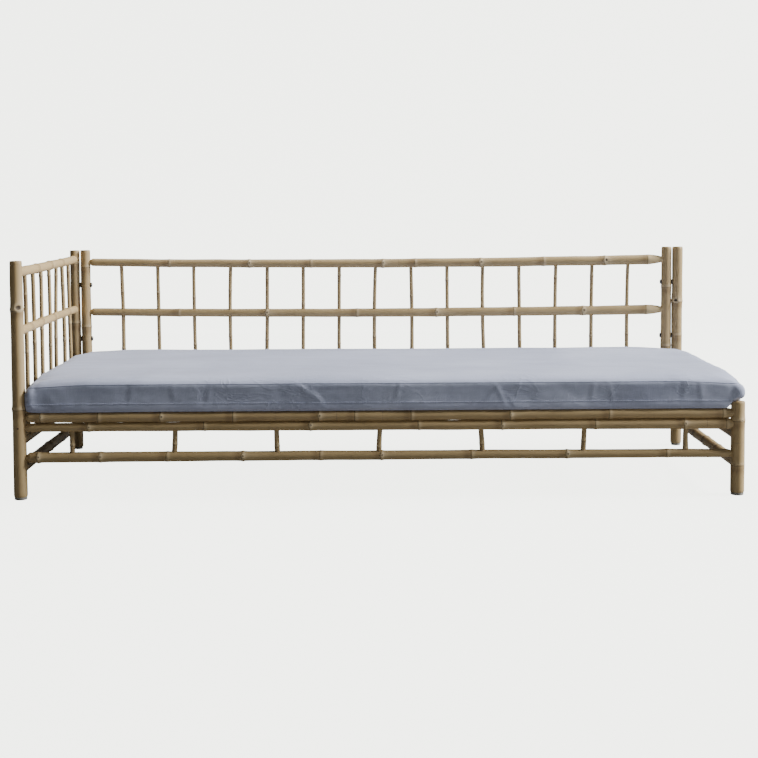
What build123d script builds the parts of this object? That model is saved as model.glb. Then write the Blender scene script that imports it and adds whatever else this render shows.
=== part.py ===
from build123d import *
from collections import namedtuple
import os

# A bamboo daybed. +X is its right, -Y its front, +Z up. The origin is on the floor under its middle.
# Sizes are in millimetres. Every pole is round and nearly solid, with a low ridge at each joint of
# the cane, and is whittled down to a round tenon where it goes into another pole.

# ---------------------------------------------------------------- overall sizes
overall_length = 2100.0
overall_depth = 850.0
overall_height = 685.0
low_post_height = 272.0  # the front right post stops under the mattress

# ---------------------------------------------------------------- fits
fit_gap = 0.05  # between a tenon or pin and the wall of its hole
end_gap = 1.0  # between the end of a tenon and the bottom of its hole
open_gap = 0.3  # between faces that only come near each other
tenon_past_axis = 6.0  # how far a rail's tenon runs on behind the post's middle
spindle_short_of_axis = 4.0  # how far a spindle's end stops below its rail's middle

# ---------------------------------------------------------------- cane
ridge_height = 0.8
ridge_half_width = 5.0
ridge_flat = 1.5
end_bevel = 1.5
ridge_shares = {  # where each pole's ridges are, as shares of its length
    "front_left_post": (0.38, 0.81),
    "front_right_post": (0.78,),
    "back_left_post": (0.27, 0.63),
    "back_right_post": (0.36, 0.74),
    "back_panel_left_post": (0.45,),
    "back_panel_right_post": (0.5,),
    "left_top_rail": (0.3, 0.72),
    "left_middle_rail": (0.19, 0.56),
    "left_seat_rail": (0.32, 0.74),
    "left_stretcher": (0.24, 0.66),
    "right_seat_rail": (0.36, 0.7),
    "right_stretcher": (0.28, 0.62),
    "front_upper_rail": (0.03, 0.11, 0.197, 0.297, 0.416, 0.545, 0.682, 0.819, 0.93),
    "front_lower_rail": (0.096, 0.257, 0.403, 0.554, 0.67, 0.8, 0.925),
    "front_stretcher": (0.04, 0.111, 0.204, 0.309, 0.417, 0.502, 0.627, 0.76, 0.9),
    "back_seat_rail": (0.06, 0.21, 0.36, 0.52, 0.67, 0.81, 0.94),
    "back_stretcher": (0.09, 0.24, 0.38, 0.55, 0.7, 0.86),
    "back_top_rail": (0.147, 0.283, 0.389, 0.512, 0.567, 0.679, 0.788, 0.893, 0.962),
    "back_middle_rail": (0.162, 0.312, 0.467, 0.604, 0.738, 0.856, 0.962),
    "back_bottom_rail": (0.11, 0.27, 0.42, 0.58, 0.73, 0.88),
}

# ---------------------------------------------------------------- posts: radius at the foot, at the top
front_left_radii = (19.5, 17.5)
front_right_radii = (20.0, 19.6)
back_left_radii = (16.0, 15.0)
back_right_radii = (17.5, 16.7)
panel_left_radii = (16.5, 15.0)
panel_right_radii = (16.8, 16.0)
post_inset_x = 20.0
post_inset_front = 20.0
post_inset_back = 17.5
post_x = overall_length / 2 - post_inset_x
front_y = post_inset_front - overall_depth / 2
back_y = overall_depth / 2 - post_inset_back

# ---------------------------------------------------------------- foot glides
glide_height = 8.0
glide_step = 1.6  # narrower than its post
glide_edge = 2.5
stem_radius = 5.0
stem_length = 25.0

# ---------------------------------------------------------------- heights of the rails' middles
front_upper_z = 238.0
front_lower_z = 207.5
front_stretcher_z = 121.0
left_top_z = 653.0
left_middle_z = 482.0
left_seat_z = 167.0
left_stretcher_z = 88.0
right_seat_z = 172.0
right_stretcher_z = 91.0
panel_top_z = 640.0
panel_middle_z = 469.0
panel_bottom_z = 288.0

# ---------------------------------------------------------------- radii of the rails, at their two ends
front_upper_radii = (12.8, 13.8)
front_lower_radii = (10.8, 13.8)
front_stretcher_radii = (14.4, 11.4)
left_top_radii = (13.0, 12.4)
left_middle_radii = (12.4, 11.8)
side_seat_radii = (14.0, 14.0)
side_stretcher_radii = (14.6, 14.2)
panel_top_radii = (12.2, 16.0)
panel_middle_radii = (12.2, 15.5)
panel_bottom_radii = (12.0, 13.0)
back_seat_radii = (13.0, 13.8)
back_stretcher_radii = (12.6, 13.6)
rail_tenon_radius = 8.2
side_tenon_radius = 9.0
short_whittle = 12.0
long_whittle = 44.0

# ---------------------------------------------------------------- spindles
spindle_radius = 6.0
short_spindle_radius = 7.5
left_spindle_count = 7
back_spindle_count = 15
front_spindle_count = 7
front_spindle_end_gap = 150.0  # from a post's middle to the first short spindle
last_bay_extra = 9.6  # the last bay of the back panel is this much wider than the others

# ---------------------------------------------------------------- seat slats
slat_count = 18
slat_radius = 10.5
slat_tenon_radius = 5.2
slat_whittle = 14.0
slat_short_of_axis = 2.0

# ---------------------------------------------------------------- back panel and its bolts
post_gap = 3.4  # between a corner post and the panel post beside it
panel_lift = 20.0  # the panel posts start this far above the back seat rail's middle
bolt_heights = (381.0, 565.0)
bolt_radius = 4.0
bolt_head_radius = 8.0
bolt_head_height = 4.6
bolt_head_rim = 1.0  # the straight part of the head, under its dome
bolt_hole_play = 0.5
spacer_radius = 8.5
insert_radius = 6.5
insert_length = 14.0
insert_depth = 1.2
bolt_end_short = 1.0

# ---------------------------------------------------------------- pegs in the front and back posts
peg_radius = 2.6
peg_past_axis = 8.0

# ---------------------------------------------------------------- mattress
mattress_thickness = 89.0
rest_gap = 0.2  # between the mattress and the ridges of the rails under it
mattress_left_gap = 15.5  # from the left posts' middles
mattress_right_reach = 17.0  # past the right posts' middles
mattress_front_reach = 19.0  # past the front posts' middles
mattress_back_gap = 22.0  # from the back posts' middles
mattress_corner = 34.0
mattress_edge = 24.0
cover_wall = 1.6
post_play = 1.2

# ---------------------------------------------------------------- zip in the mattress's right end
zip_front_gap = 84.0  # from the mattress's front face to the zip's end
zip_back_gap = 45.5
tape_height = 26.0
tape_thickness = 0.9
chain_height = 5.0
chain_thickness = 1.5
slider_length = 12.0
slider_height = 9.0
slider_thickness = 3.2
slider_corner = 2.25
slider_play = 0.3
lug_thickness = 1.4
lug_radius = 2.0
lug_half_gap = 2.7
zip_pin_radius = 0.8
pull_length = 24.0
pull_height = 7.0
pull_thickness = 1.2
pull_corner = 2.3
tab_start = 6.0  # from the pin to the wide part of the pull
neck_length = 8.0
pull_hole_radius = 1.7
knuckle_radius = 1.6
knuckle_end_gap = 0.25

# ---------------------------------------------------------------- worked out from the sizes above
back_left_at_bolts = back_left_radii[0]
back_right_at_bolts = back_right_radii[0]
panel_left_x = -post_x + back_left_at_bolts + post_gap + panel_left_radii[0]
panel_right_x = post_x - back_right_at_bolts - post_gap - panel_right_radii[0]
panel_foot_z = front_upper_z + panel_lift
mattress_bottom = front_upper_z + max(front_upper_radii + back_seat_radii) + ridge_height + rest_gap
slat_z = mattress_bottom - open_gap - slat_radius
mattress_left = mattress_left_gap - post_x
mattress_right = post_x + mattress_right_reach
mattress_front = front_y - mattress_front_reach
mattress_back = back_y - mattress_back_gap
mattress_length = mattress_right - mattress_left
mattress_depth = mattress_back - mattress_front
zip_front = mattress_front + zip_front_gap
zip_back = mattress_back - zip_back_gap
zip_length = zip_back - zip_front
zip_middle_y = (zip_front + zip_back) / 2
zip_z = mattress_bottom + mattress_thickness / 2
zip_rest_y = zip_back - slider_length
slider_face_x = mattress_right + tape_thickness + slider_play
pin_x = slider_face_x + slider_thickness + lug_radius

Tip = namedtuple("Tip", "radius length whittle")  # a tenon, and the taper behind it
plain = Tip(0.0, 0.0, 0.0)


def radius_at(radii, share):
    """A pole's radius at a share of the way along it."""
    return radii[0] + (radii[1] - radii[0]) * share


def spread(first, last, count):
    """Evenly spaced places between two ends, the ends themselves left out."""
    step = (last - first) / (count + 1)
    return [first + step * (i + 1) for i in range(count)]


def tip_outline(tip, radius):
    """The outline of a pole's end, as radius and distance from the end."""
    if tip.radius:
        return [(tip.radius, 0), (tip.radius, tip.length), (radius, tip.length + tip.whittle)]
    return [(radius - end_bevel, 0), (radius, end_bevel)]


def pole_outline(length, radii, ridges, tips):
    """Half of a pole's outline, as radius and distance from its start."""
    points = [(0, 0)] + tip_outline(tips[0], radii[0])
    for share in ridges:
        middle, radius = share * length, radius_at(radii, share)
        points += [
            (radius, middle - ridge_half_width),
            (radius + ridge_height, middle - ridge_flat),
            (radius + ridge_height, middle + ridge_flat),
            (radius, middle + ridge_half_width),
        ]
    points += [(radius, length - reach) for radius, reach in reversed(tip_outline(tips[1], radii[1]))]
    return points + [(0, length)]


def turn_pole(start, end, radii, ridges=(), tips=(plain, plain)):
    """Adds a pole to the part being built: half its outline spun round the line from start to end."""
    run = Vector(*end) - Vector(*start)
    along = run.normalized()
    side = Vector(0, 0, 1) if along.X else Vector(1, 0, 0)
    with BuildSketch(Plane(origin=start, x_dir=side, z_dir=side.cross(along))) as half:
        with BuildLine():
            Polyline(pole_outline(run.length, radii, ridges, tips), close=True)
        make_face()
    revolve(half.sketch, axis=Axis(start, along))


def bore(bottom, direction, radius, depth):
    """Cuts a round hole into the part being built, from its closed end outwards."""
    with Locations(Plane(origin=bottom, z_dir=direction)):
        Cylinder(
            radius, depth, align=(Align.CENTER, Align.CENTER, Align.MIN), mode=Mode.SUBTRACT
        )


def save(builder, name):
    builder.part.label = name
    export_step(builder.part, f"parts/{name}.step")


def make_pole(name, start, end, radii, tips=(plain, plain), holes=()):
    with BuildPart() as pole:
        turn_pole(start, end, radii, ridge_shares.get(name, ()), tips)
        for hole in holes:
            bore(*hole)
    save(pole, name)


def rail_ends(first, last, axis, post_radii, tenon_radius, whittles):
    """Start, end and tips of a rail that runs between two posts' middles, tenoned into both."""
    inward = Vector(*axis)
    start = Vector(*first) - inward * tenon_past_axis
    end = Vector(*last) + inward * tenon_past_axis
    tips = [
        Tip(tenon_radius, tenon_past_axis + radius + ridge_height + open_gap, whittle)
        for radius, whittle in zip(post_radii, whittles)
    ]
    return tuple(start), tuple(end), tips


def rail_socket(place, direction, tenon_radius, post_radius):
    """The hole in a post at place for a rail that leaves it in the given direction."""
    out = Vector(*direction)
    bottom = Vector(*place) - out * (tenon_past_axis + end_gap)
    reach = tenon_past_axis + end_gap + 2 * post_radius
    return tuple(bottom), direction, tenon_radius + fit_gap, reach


right, left, forth, back, up, down = (1, 0, 0), (-1, 0, 0), (0, -1, 0), (0, 1, 0), (0, 0, 1), (0, 0, -1)

# Rails along X go into the front posts or into the back corner posts at these heights.
front_rail_heights = (front_upper_z, front_lower_z, front_stretcher_z)
back_rail_heights = (front_upper_z, front_stretcher_z)
left_rail_heights = (left_top_z, left_middle_z, left_seat_z, left_stretcher_z)
right_rail_heights = (right_seat_z, right_stretcher_z)


def glide_hole(x, y):
    return (x, y, glide_height), up, stem_radius + fit_gap, stem_length + end_gap


def peg_hole(x, y, z, direction):
    """Runs from past the post's middle out through its face."""
    out = Vector(*direction)
    bottom = Vector(x, y, z) - out * (peg_past_axis + end_gap)
    return tuple(bottom), direction, peg_radius + fit_gap, 2 * peg_past_axis + 2 * post_inset_x


def insert_hole(x, z, direction, post_radius):
    """For a threaded insert and the end of its bolt, open on the side of the panel post."""
    floor = post_radius - insert_depth - insert_length - end_gap
    return (x + direction[0] * floor, back_y, z), direction, insert_radius + fit_gap, 2 * post_radius


def corner_posts():
    """Four corner posts: the front right one is cut off under the mattress."""
    posts = {
        "front_left_post": (-post_x, front_y, front_left_radii, overall_height),
        "front_right_post": (post_x, front_y, front_right_radii, low_post_height),
        "back_left_post": (-post_x, back_y, back_left_radii, overall_height),
        "back_right_post": (post_x, back_y, back_right_radii, overall_height),
    }
    for name, (x, y, radii, height) in posts.items():
        along_x = right if x < 0 else left
        along_y = back if y < 0 else forth
        outward = forth if y < 0 else back
        long_heights = front_rail_heights if y < 0 else back_rail_heights
        side_heights = left_rail_heights if x < 0 else right_rail_heights
        peg_z = front_lower_z if y < 0 else front_upper_z
        widest = max(radii)
        holes = [glide_hole(x, y), peg_hole(x, y, peg_z, outward)]
        holes += [rail_socket((x, y, z), along_x, rail_tenon_radius, widest) for z in long_heights]
        holes += [rail_socket((x, y, z), along_y, side_tenon_radius, widest) for z in side_heights]
        if y > 0:
            holes += [insert_hole(x, z, along_x, radii[0]) for z in bolt_heights]
        make_pole(name, (x, y, glide_height), (x, y, height), radii, holes=holes)


def foot_glides():
    """A hard foot under each post, with a stem up its middle."""
    feet = (
        (-post_x, front_y, front_left_radii[0]),
        (post_x, front_y, front_right_radii[0]),
        (-post_x, back_y, back_left_radii[0]),
        (post_x, back_y, back_right_radii[0]),
    )
    with BuildPart() as glides:
        for x, y, post_radius in feet:
            with Locations((x, y, 0)):
                Cylinder(
                    post_radius - glide_step,
                    glide_height,
                    align=(Align.CENTER, Align.CENTER, Align.MIN),
                )
        fillet(glides.edges().group_by(Axis.Z)[0], glide_edge)
        for x, y, post_radius in feet:
            with Locations((x, y, glide_height)):
                Cylinder(stem_radius, stem_length, align=(Align.CENTER, Align.CENTER, Align.MIN))
    save(glides, "foot_glides")


def spindle_hole(x, y, z, from_above, radius):
    """A blind hole in a rail whose middle is at z, for a spindle from above or below."""
    out = up if from_above else down
    side = 1 if from_above else -1
    bottom = z + side * (spindle_short_of_axis - end_gap)
    return (x, y, bottom), out, radius + fit_gap, 3 * radius + 2 * end_gap


def through_hole(x, y, z, radius, rail_radius):
    """A hole right through a rail for a spindle that passes it."""
    return (x, y, z - 2 * rail_radius), up, radius + fit_gap, 4 * rail_radius


def end_rail(name, x, z, radii, post_radii, holes=()):
    """A rail from the front post to the back post at one end of the bed."""
    start, end, tips = rail_ends(
        (x, front_y, z), (x, back_y, z), back, post_radii, side_tenon_radius,
        (short_whittle, short_whittle),
    )
    make_pole(name, start, end, radii, tips, holes)


def left_end():
    """The high end panel: four rails, and spindles that pass through the middle one."""
    posts = (front_left_radii[0], back_left_radii[0])
    places = spread(front_y, back_y, left_spindle_count)
    x = -post_x
    top_holes = [spindle_hole(x, y, left_top_z, False, spindle_radius) for y in places]
    middle_holes = [
        through_hole(x, y, left_middle_z, spindle_radius, left_middle_radii[0]) for y in places
    ]
    seat_holes = [spindle_hole(x, y, left_seat_z, True, spindle_radius) for y in places]
    end_rail("left_top_rail", x, left_top_z, left_top_radii, posts, top_holes)
    end_rail("left_middle_rail", x, left_middle_z, left_middle_radii, posts, middle_holes)
    end_rail("left_seat_rail", x, left_seat_z, side_seat_radii, posts, seat_holes)
    end_rail("left_stretcher", x, left_stretcher_z, side_stretcher_radii, posts)
    for number, y in enumerate(places, 1):
        foot = (x, y, left_seat_z + spindle_short_of_axis)
        head = (x, y, left_top_z - spindle_short_of_axis)
        make_pole(f"left_spindle_{number}", foot, head, (spindle_radius, spindle_radius))


def right_end():
    """The open end: only a seat rail and a stretcher."""
    posts = (front_right_radii[0], back_right_radii[0])
    end_rail("right_seat_rail", post_x, right_seat_z, side_seat_radii, posts)
    end_rail("right_stretcher", post_x, right_stretcher_z, side_stretcher_radii, posts)


def long_rail(name, y, z, radii, post_radii, holes=()):
    """A rail from the left corner post to the right one."""
    start, end, tips = rail_ends(
        (-post_x, y, z), (post_x, y, z), right, post_radii, rail_tenon_radius,
        (short_whittle, short_whittle),
    )
    make_pole(name, start, end, radii, tips, holes)


front_spindle_x = post_x - front_spindle_end_gap
front_spindle_step = 2 * front_spindle_x / (front_spindle_count - 1)
front_spindle_places = [front_spindle_step * i - front_spindle_x for i in range(front_spindle_count)]
slat_places = spread(-post_x, post_x, slat_count)


def slat_hole(x, y, direction):
    """A blind hole in a long rail for a seat slat's tenon."""
    side = direction[1]
    bottom = y + side * (slat_short_of_axis - end_gap)
    return (x, bottom, slat_z), direction, slat_tenon_radius + fit_gap, 2 * slat_radius


def front_frame():
    """Two rails one over the other, a stretcher below, and short spindles between."""
    posts = (front_left_radii[0], front_right_radii[0])
    slats = [slat_hole(x, front_y, back) for x in slat_places]
    heads = [
        spindle_hole(x, front_y, front_lower_z, False, short_spindle_radius)
        for x in front_spindle_places
    ]
    feet = [
        spindle_hole(x, front_y, front_stretcher_z, True, short_spindle_radius)
        for x in front_spindle_places
    ]
    pegs = [peg_hole(x, front_y, front_lower_z, forth) for x in (-post_x, post_x)]
    long_rail("front_upper_rail", front_y, front_upper_z, front_upper_radii, posts, slats)
    long_rail("front_lower_rail", front_y, front_lower_z, front_lower_radii, posts, heads + pegs)
    long_rail("front_stretcher", front_y, front_stretcher_z, front_stretcher_radii, posts, feet)
    foot_z = front_stretcher_z + spindle_short_of_axis
    head_z = front_lower_z - spindle_short_of_axis
    for number, x in enumerate(front_spindle_places, 1):
        make_pole(
            f"front_spindle_{number}", (x, front_y, foot_z), (x, front_y, head_z),
            (short_spindle_radius, short_spindle_radius),
        )


def back_frame():
    """The back seat rail and stretcher, with short spindles between them."""
    posts = (back_left_radii[0], back_right_radii[0])
    slats = [slat_hole(x, back_y, forth) for x in slat_places]
    heads = [
        spindle_hole(x, back_y, front_upper_z, False, short_spindle_radius)
        for x in front_spindle_places
    ]
    feet = [
        spindle_hole(x, back_y, front_stretcher_z, True, short_spindle_radius)
        for x in front_spindle_places
    ]
    pegs = [peg_hole(x, back_y, front_upper_z, back) for x in (-post_x, post_x)]
    long_rail("back_seat_rail", back_y, front_upper_z, back_seat_radii, posts, slats + heads + pegs)
    long_rail("back_stretcher", back_y, front_stretcher_z, back_stretcher_radii, posts, feet)
    foot_z = front_stretcher_z + spindle_short_of_axis
    head_z = front_upper_z - spindle_short_of_axis
    radii = (short_spindle_radius, short_spindle_radius)
    with BuildPart() as spindles:
        for x in front_spindle_places:
            turn_pole((x, back_y, foot_z), (x, back_y, head_z), radii)
    save(spindles, "back_short_spindles")


def seat_slats():
    """Canes from front to back that carry the mattress."""
    front_reach = max(front_upper_radii) + ridge_height + open_gap - slat_short_of_axis
    back_reach = max(back_seat_radii) + ridge_height + open_gap - slat_short_of_axis
    tips = [Tip(slat_tenon_radius, reach, slat_whittle) for reach in (front_reach, back_reach)]
    with BuildPart() as slats:
        for x in slat_places:
            turn_pole(
                (x, front_y + slat_short_of_axis, slat_z), (x, back_y - slat_short_of_axis, slat_z),
                (slat_radius, slat_radius), (), tips,
            )
    save(slats, "seat_slats")


panel_bay = (panel_right_x - panel_left_x - last_bay_extra) / (back_spindle_count + 1)
back_spindle_places = [panel_left_x + panel_bay * (i + 1) for i in range(back_spindle_count)]


def panel_rail(name, z, radii, whittles, holes):
    """A rail between the two panel posts."""
    start, end, tips = rail_ends(
        (panel_left_x, back_y, z), (panel_right_x, back_y, z), right,
        (panel_left_radii[0], panel_right_radii[0]), rail_tenon_radius, whittles,
    )
    make_pole(name, start, end, radii, tips, holes)


def back_panel():
    """The back rest: a frame of its own, bolted between the back corner posts."""
    panel_posts = {
        "back_panel_left_post": (panel_left_x, panel_left_radii, right),
        "back_panel_right_post": (panel_right_x, panel_right_radii, left),
    }
    for name, (x, radii, inward) in panel_posts.items():
        widest = max(radii)
        heights = (panel_top_z, panel_middle_z, panel_bottom_z)
        holes = [rail_socket((x, back_y, z), inward, rail_tenon_radius, widest) for z in heights]
        holes += [
            ((x - 2 * widest, back_y, z), right, bolt_radius + bolt_hole_play, 4 * widest)
            for z in bolt_heights
        ]
        make_pole(name, (x, back_y, panel_foot_z), (x, back_y, overall_height), radii, holes=holes)
    places = back_spindle_places
    heads = [spindle_hole(x, back_y, panel_top_z, False, spindle_radius) for x in places]
    middles = [
        through_hole(x, back_y, panel_middle_z, spindle_radius, max(panel_middle_radii)) for x in places
    ]
    feet = [spindle_hole(x, back_y, panel_bottom_z, True, spindle_radius) for x in places]
    uneven = (short_whittle, long_whittle)
    panel_rail("back_top_rail", panel_top_z, panel_top_radii, uneven, heads)
    panel_rail("back_middle_rail", panel_middle_z, panel_middle_radii, uneven, middles)
    even = (short_whittle, short_whittle)
    panel_rail("back_bottom_rail", panel_bottom_z, panel_bottom_radii, even, feet)
    foot_z = panel_bottom_z + spindle_short_of_axis
    head_z = panel_top_z - spindle_short_of_axis
    for number, x in enumerate(places, 1):
        make_pole(
            f"back_spindle_{number}", (x, back_y, foot_z), (x, back_y, head_z),
            (spindle_radius, spindle_radius),
        )


bolt_sides = (
    (-1, post_x, back_left_radii[0], panel_left_radii[0]),
    (1, post_x, back_right_radii[0], panel_right_radii[0]),
)


def panel_bolts():
    """Dome-headed bolts through the panel posts, each with a thick washer between the posts."""
    with BuildPart() as bolts:
        for side, middle, corner_radius, panel_radius in bolt_sides:
            head_x = middle - corner_radius - post_gap - 2 * panel_radius - open_gap
            end_x = middle - corner_radius + insert_depth + insert_length - bolt_end_short
            inward = Vector(-side, 0, 0)
            for z in bolt_heights:
                with BuildSketch(Plane(origin=(side * head_x, back_y, z), z_dir=(-side, 0, 0))) as head:
                    Circle(bolt_head_radius)
                extrude(head.sketch, amount=bolt_head_height)
                dome = bolts.faces().sort_by_distance(
                    Vector(side * (head_x - bolt_head_height), back_y, z)
                )[0]
                fillet(dome.outer_wire().edges(), bolt_head_height - bolt_head_rim)
                with Locations(Plane(origin=(side * end_x, back_y, z), z_dir=inward)):
                    Cylinder(
                        bolt_radius, end_x - head_x, align=(Align.CENTER, Align.CENTER, Align.MIN)
                    )
        for side, middle, corner_radius, panel_radius in bolt_sides:
            washer_x = middle - corner_radius - post_gap + open_gap
            for z in bolt_heights:
                with BuildSketch(Plane(origin=(side * washer_x, back_y, z), z_dir=(side, 0, 0))) as ring:
                    Circle(spacer_radius)
                    Circle(bolt_radius + bolt_hole_play, mode=Mode.SUBTRACT)
                extrude(ring.sketch, amount=post_gap - 2 * open_gap)
    save(bolts, "panel_bolts")


def panel_inserts():
    """Threaded sleeves let into the corner posts."""
    with BuildPart() as inserts:
        for side, middle, corner_radius, _ in bolt_sides:
            mouth_x = middle - corner_radius + insert_depth
            for z in bolt_heights:
                with BuildSketch(Plane(origin=(side * mouth_x, back_y, z), z_dir=(side, 0, 0))) as ring:
                    Circle(insert_radius)
                    Circle(bolt_radius + fit_gap, mode=Mode.SUBTRACT)
                extrude(ring.sketch, amount=insert_length)
    save(inserts, "panel_inserts")


def tenon_pegs():
    """One peg through each tenon of the front lower rail and the back seat rail."""
    pegs_at = (
        (-post_x, front_y, front_lower_z, -1, front_left_radii[0]),
        (post_x, front_y, front_lower_z, -1, front_right_radii[0]),
        (-post_x, back_y, front_upper_z, 1, back_left_radii[0]),
        (post_x, back_y, front_upper_z, 1, back_right_radii[0]),
    )
    with BuildPart() as pegs:
        for x, y, z, side, post_radius in pegs_at:
            with Locations(Plane(origin=(x, y - side * peg_past_axis, z), z_dir=(0, side, 0))):
                Cylinder(
                    peg_radius,
                    peg_past_axis + post_radius,
                    align=(Align.CENTER, Align.CENTER, Align.MIN),
                )
    save(pegs, "tenon_pegs")


def mattress_block(inset):
    """The mattress as a soft-edged block, smaller by inset on every face, and clear of the posts."""
    with BuildPart() as block:
        with BuildSketch(Plane.XY.offset(mattress_bottom + inset)):
            with Locations(
                ((mattress_left + mattress_right) / 2, (mattress_front + mattress_back) / 2)
            ):
                RectangleRounded(
                    mattress_length - 2 * inset, mattress_depth - 2 * inset, mattress_corner - inset
                )
        extrude(amount=mattress_thickness - 2 * inset)
        rims = block.edges().group_by(Axis.Z)
        fillet(rims[0] + rims[-1], mattress_edge - inset)
        with Locations((-post_x, front_y, mattress_bottom)):
            Cylinder(
                front_left_radii[0] + ridge_height + post_play + inset,
                mattress_thickness,
                align=(Align.CENTER, Align.CENTER, Align.MIN),
                mode=Mode.SUBTRACT,
            )
        with Locations((post_x, front_y, mattress_bottom)):
            Cylinder(
                front_right_radii[0] + ridge_height + post_play + inset,
                low_post_height + post_play + inset - mattress_bottom,
                align=(Align.CENTER, Align.CENTER, Align.MIN),
                mode=Mode.SUBTRACT,
            )
    return block.part


def mattress():
    """A sewn cover with a foam core inside it."""
    outside = mattress_block(0)
    lining = mattress_block(cover_wall)
    foam = mattress_block(cover_wall + open_gap)
    with BuildPart() as mattress_cover:
        add(outside)
        add(lining, mode=Mode.SUBTRACT)
    save(mattress_cover, "mattress_cover")
    with BuildPart() as mattress_core:
        add(foam)
    save(mattress_core, "mattress_core")


def zip_chain():
    """Two tapes and the closed chain of teeth, as one flat strip with a raised middle."""
    with BuildPart() as chain:
        with Locations((mattress_right, zip_middle_y, zip_z)):
            Box(tape_thickness, zip_length, tape_height, align=(Align.MIN, Align.CENTER, Align.CENTER))
            Box(
                tape_thickness + chain_thickness,
                zip_length - slider_length / 2,
                chain_height,
                align=(Align.MIN, Align.CENTER, Align.CENTER),
            )
    save(chain, "zip_chain")


def zip_slider():
    """Runs on the chain, and carries two lugs and a pin for its pull."""
    with BuildPart() as slider:
        with Locations((slider_face_x, zip_rest_y, zip_z)):
            Box(
                slider_thickness,
                slider_length,
                slider_height,
                align=(Align.MIN, Align.CENTER, Align.CENTER),
            )
        fillet(slider.edges().filter_by(Axis.X), slider_corner)
        with Locations((slider_face_x, zip_rest_y, zip_z)):
            Box(
                chain_thickness + slider_play,
                2 * slider_length,
                chain_height + 2 * slider_play,
                align=(Align.CENTER, Align.CENTER, Align.CENTER),
                mode=Mode.SUBTRACT,
            )
            Box(
                chain_thickness,
                2 * slider_length,
                chain_height + 2 * slider_play,
                align=(Align.MIN, Align.CENTER, Align.CENTER),
                mode=Mode.SUBTRACT,
            )
        for side in (-1, 1):
            lug_z = zip_z + side * lug_half_gap
            with BuildSketch(Plane(origin=(pin_x, zip_rest_y, lug_z), z_dir=(0, 0, side))):
                Circle(lug_radius)
                with Locations((-lug_radius, 0)):
                    Rectangle(2 * lug_radius, 2 * lug_radius)
            extrude(amount=lug_thickness)
        with Locations((pin_x, zip_rest_y, zip_z)):
            Cylinder(zip_pin_radius, 2 * lug_half_gap)
    save(slider, "zip_slider")


def zip_pull():
    """A flat tab on a sleeve round the slider's pin, lying along the zip."""
    sleeve_height = 2 * (lug_half_gap - knuckle_end_gap)
    with BuildPart() as pull:
        with Locations((pin_x, zip_rest_y, zip_z)):
            Cylinder(knuckle_radius, sleeve_height)
            Box(
                pull_thickness,
                neck_length,
                sleeve_height,
                align=(Align.CENTER, Align.MAX, Align.CENTER),
            )
        with BuildSketch(
            Plane(origin=(pin_x - pull_thickness / 2, zip_rest_y, zip_z), x_dir=(0, 1, 0), z_dir=right)
        ):
            with Locations((-(pull_length + tab_start) / 2, 0)):
                RectangleRounded(pull_length - tab_start, pull_height, pull_corner)
            with Locations((pull_height / 2 - pull_length, 0)):
                Circle(pull_hole_radius, mode=Mode.SUBTRACT)
        extrude(amount=pull_thickness)
        with Locations((pin_x, zip_rest_y, zip_z)):
            Cylinder(zip_pin_radius + fit_gap, 2 * lug_half_gap, mode=Mode.SUBTRACT)
    save(pull, "zip_pull")


os.makedirs("parts", exist_ok=True)
corner_posts()
foot_glides()
left_end()
right_end()
front_frame()
back_frame()
seat_slats()
back_panel()
panel_bolts()
panel_inserts()
tenon_pegs()
mattress()
zip_chain()
zip_slider()
zip_pull()
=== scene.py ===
import bpy
import bmesh
import math
import random
from mathutils import Matrix, Vector, noise
from mathutils.bvhtree import BVHTree


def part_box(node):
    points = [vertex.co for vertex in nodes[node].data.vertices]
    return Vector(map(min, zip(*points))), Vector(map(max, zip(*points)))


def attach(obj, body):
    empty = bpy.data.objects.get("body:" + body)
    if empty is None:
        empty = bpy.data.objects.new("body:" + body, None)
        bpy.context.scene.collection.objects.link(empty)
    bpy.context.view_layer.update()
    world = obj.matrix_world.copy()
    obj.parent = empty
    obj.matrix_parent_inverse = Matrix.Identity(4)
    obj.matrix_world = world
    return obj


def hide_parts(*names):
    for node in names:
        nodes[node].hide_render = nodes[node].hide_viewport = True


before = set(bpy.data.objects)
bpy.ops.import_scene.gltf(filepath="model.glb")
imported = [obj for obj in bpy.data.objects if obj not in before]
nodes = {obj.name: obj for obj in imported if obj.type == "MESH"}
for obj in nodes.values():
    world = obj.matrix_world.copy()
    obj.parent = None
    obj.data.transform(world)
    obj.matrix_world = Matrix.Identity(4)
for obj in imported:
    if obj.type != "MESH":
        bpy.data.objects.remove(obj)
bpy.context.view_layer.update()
print("frame loaded,", len(nodes), "nodes")


# wiring: one socket, so that sums in a node tree can be written as sums

def isSingle(value):  # one number, or a socket that holds one
    return isinstance(value, (int, float)) or (isinstance(value, Wire) and not value.isVector())


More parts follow.
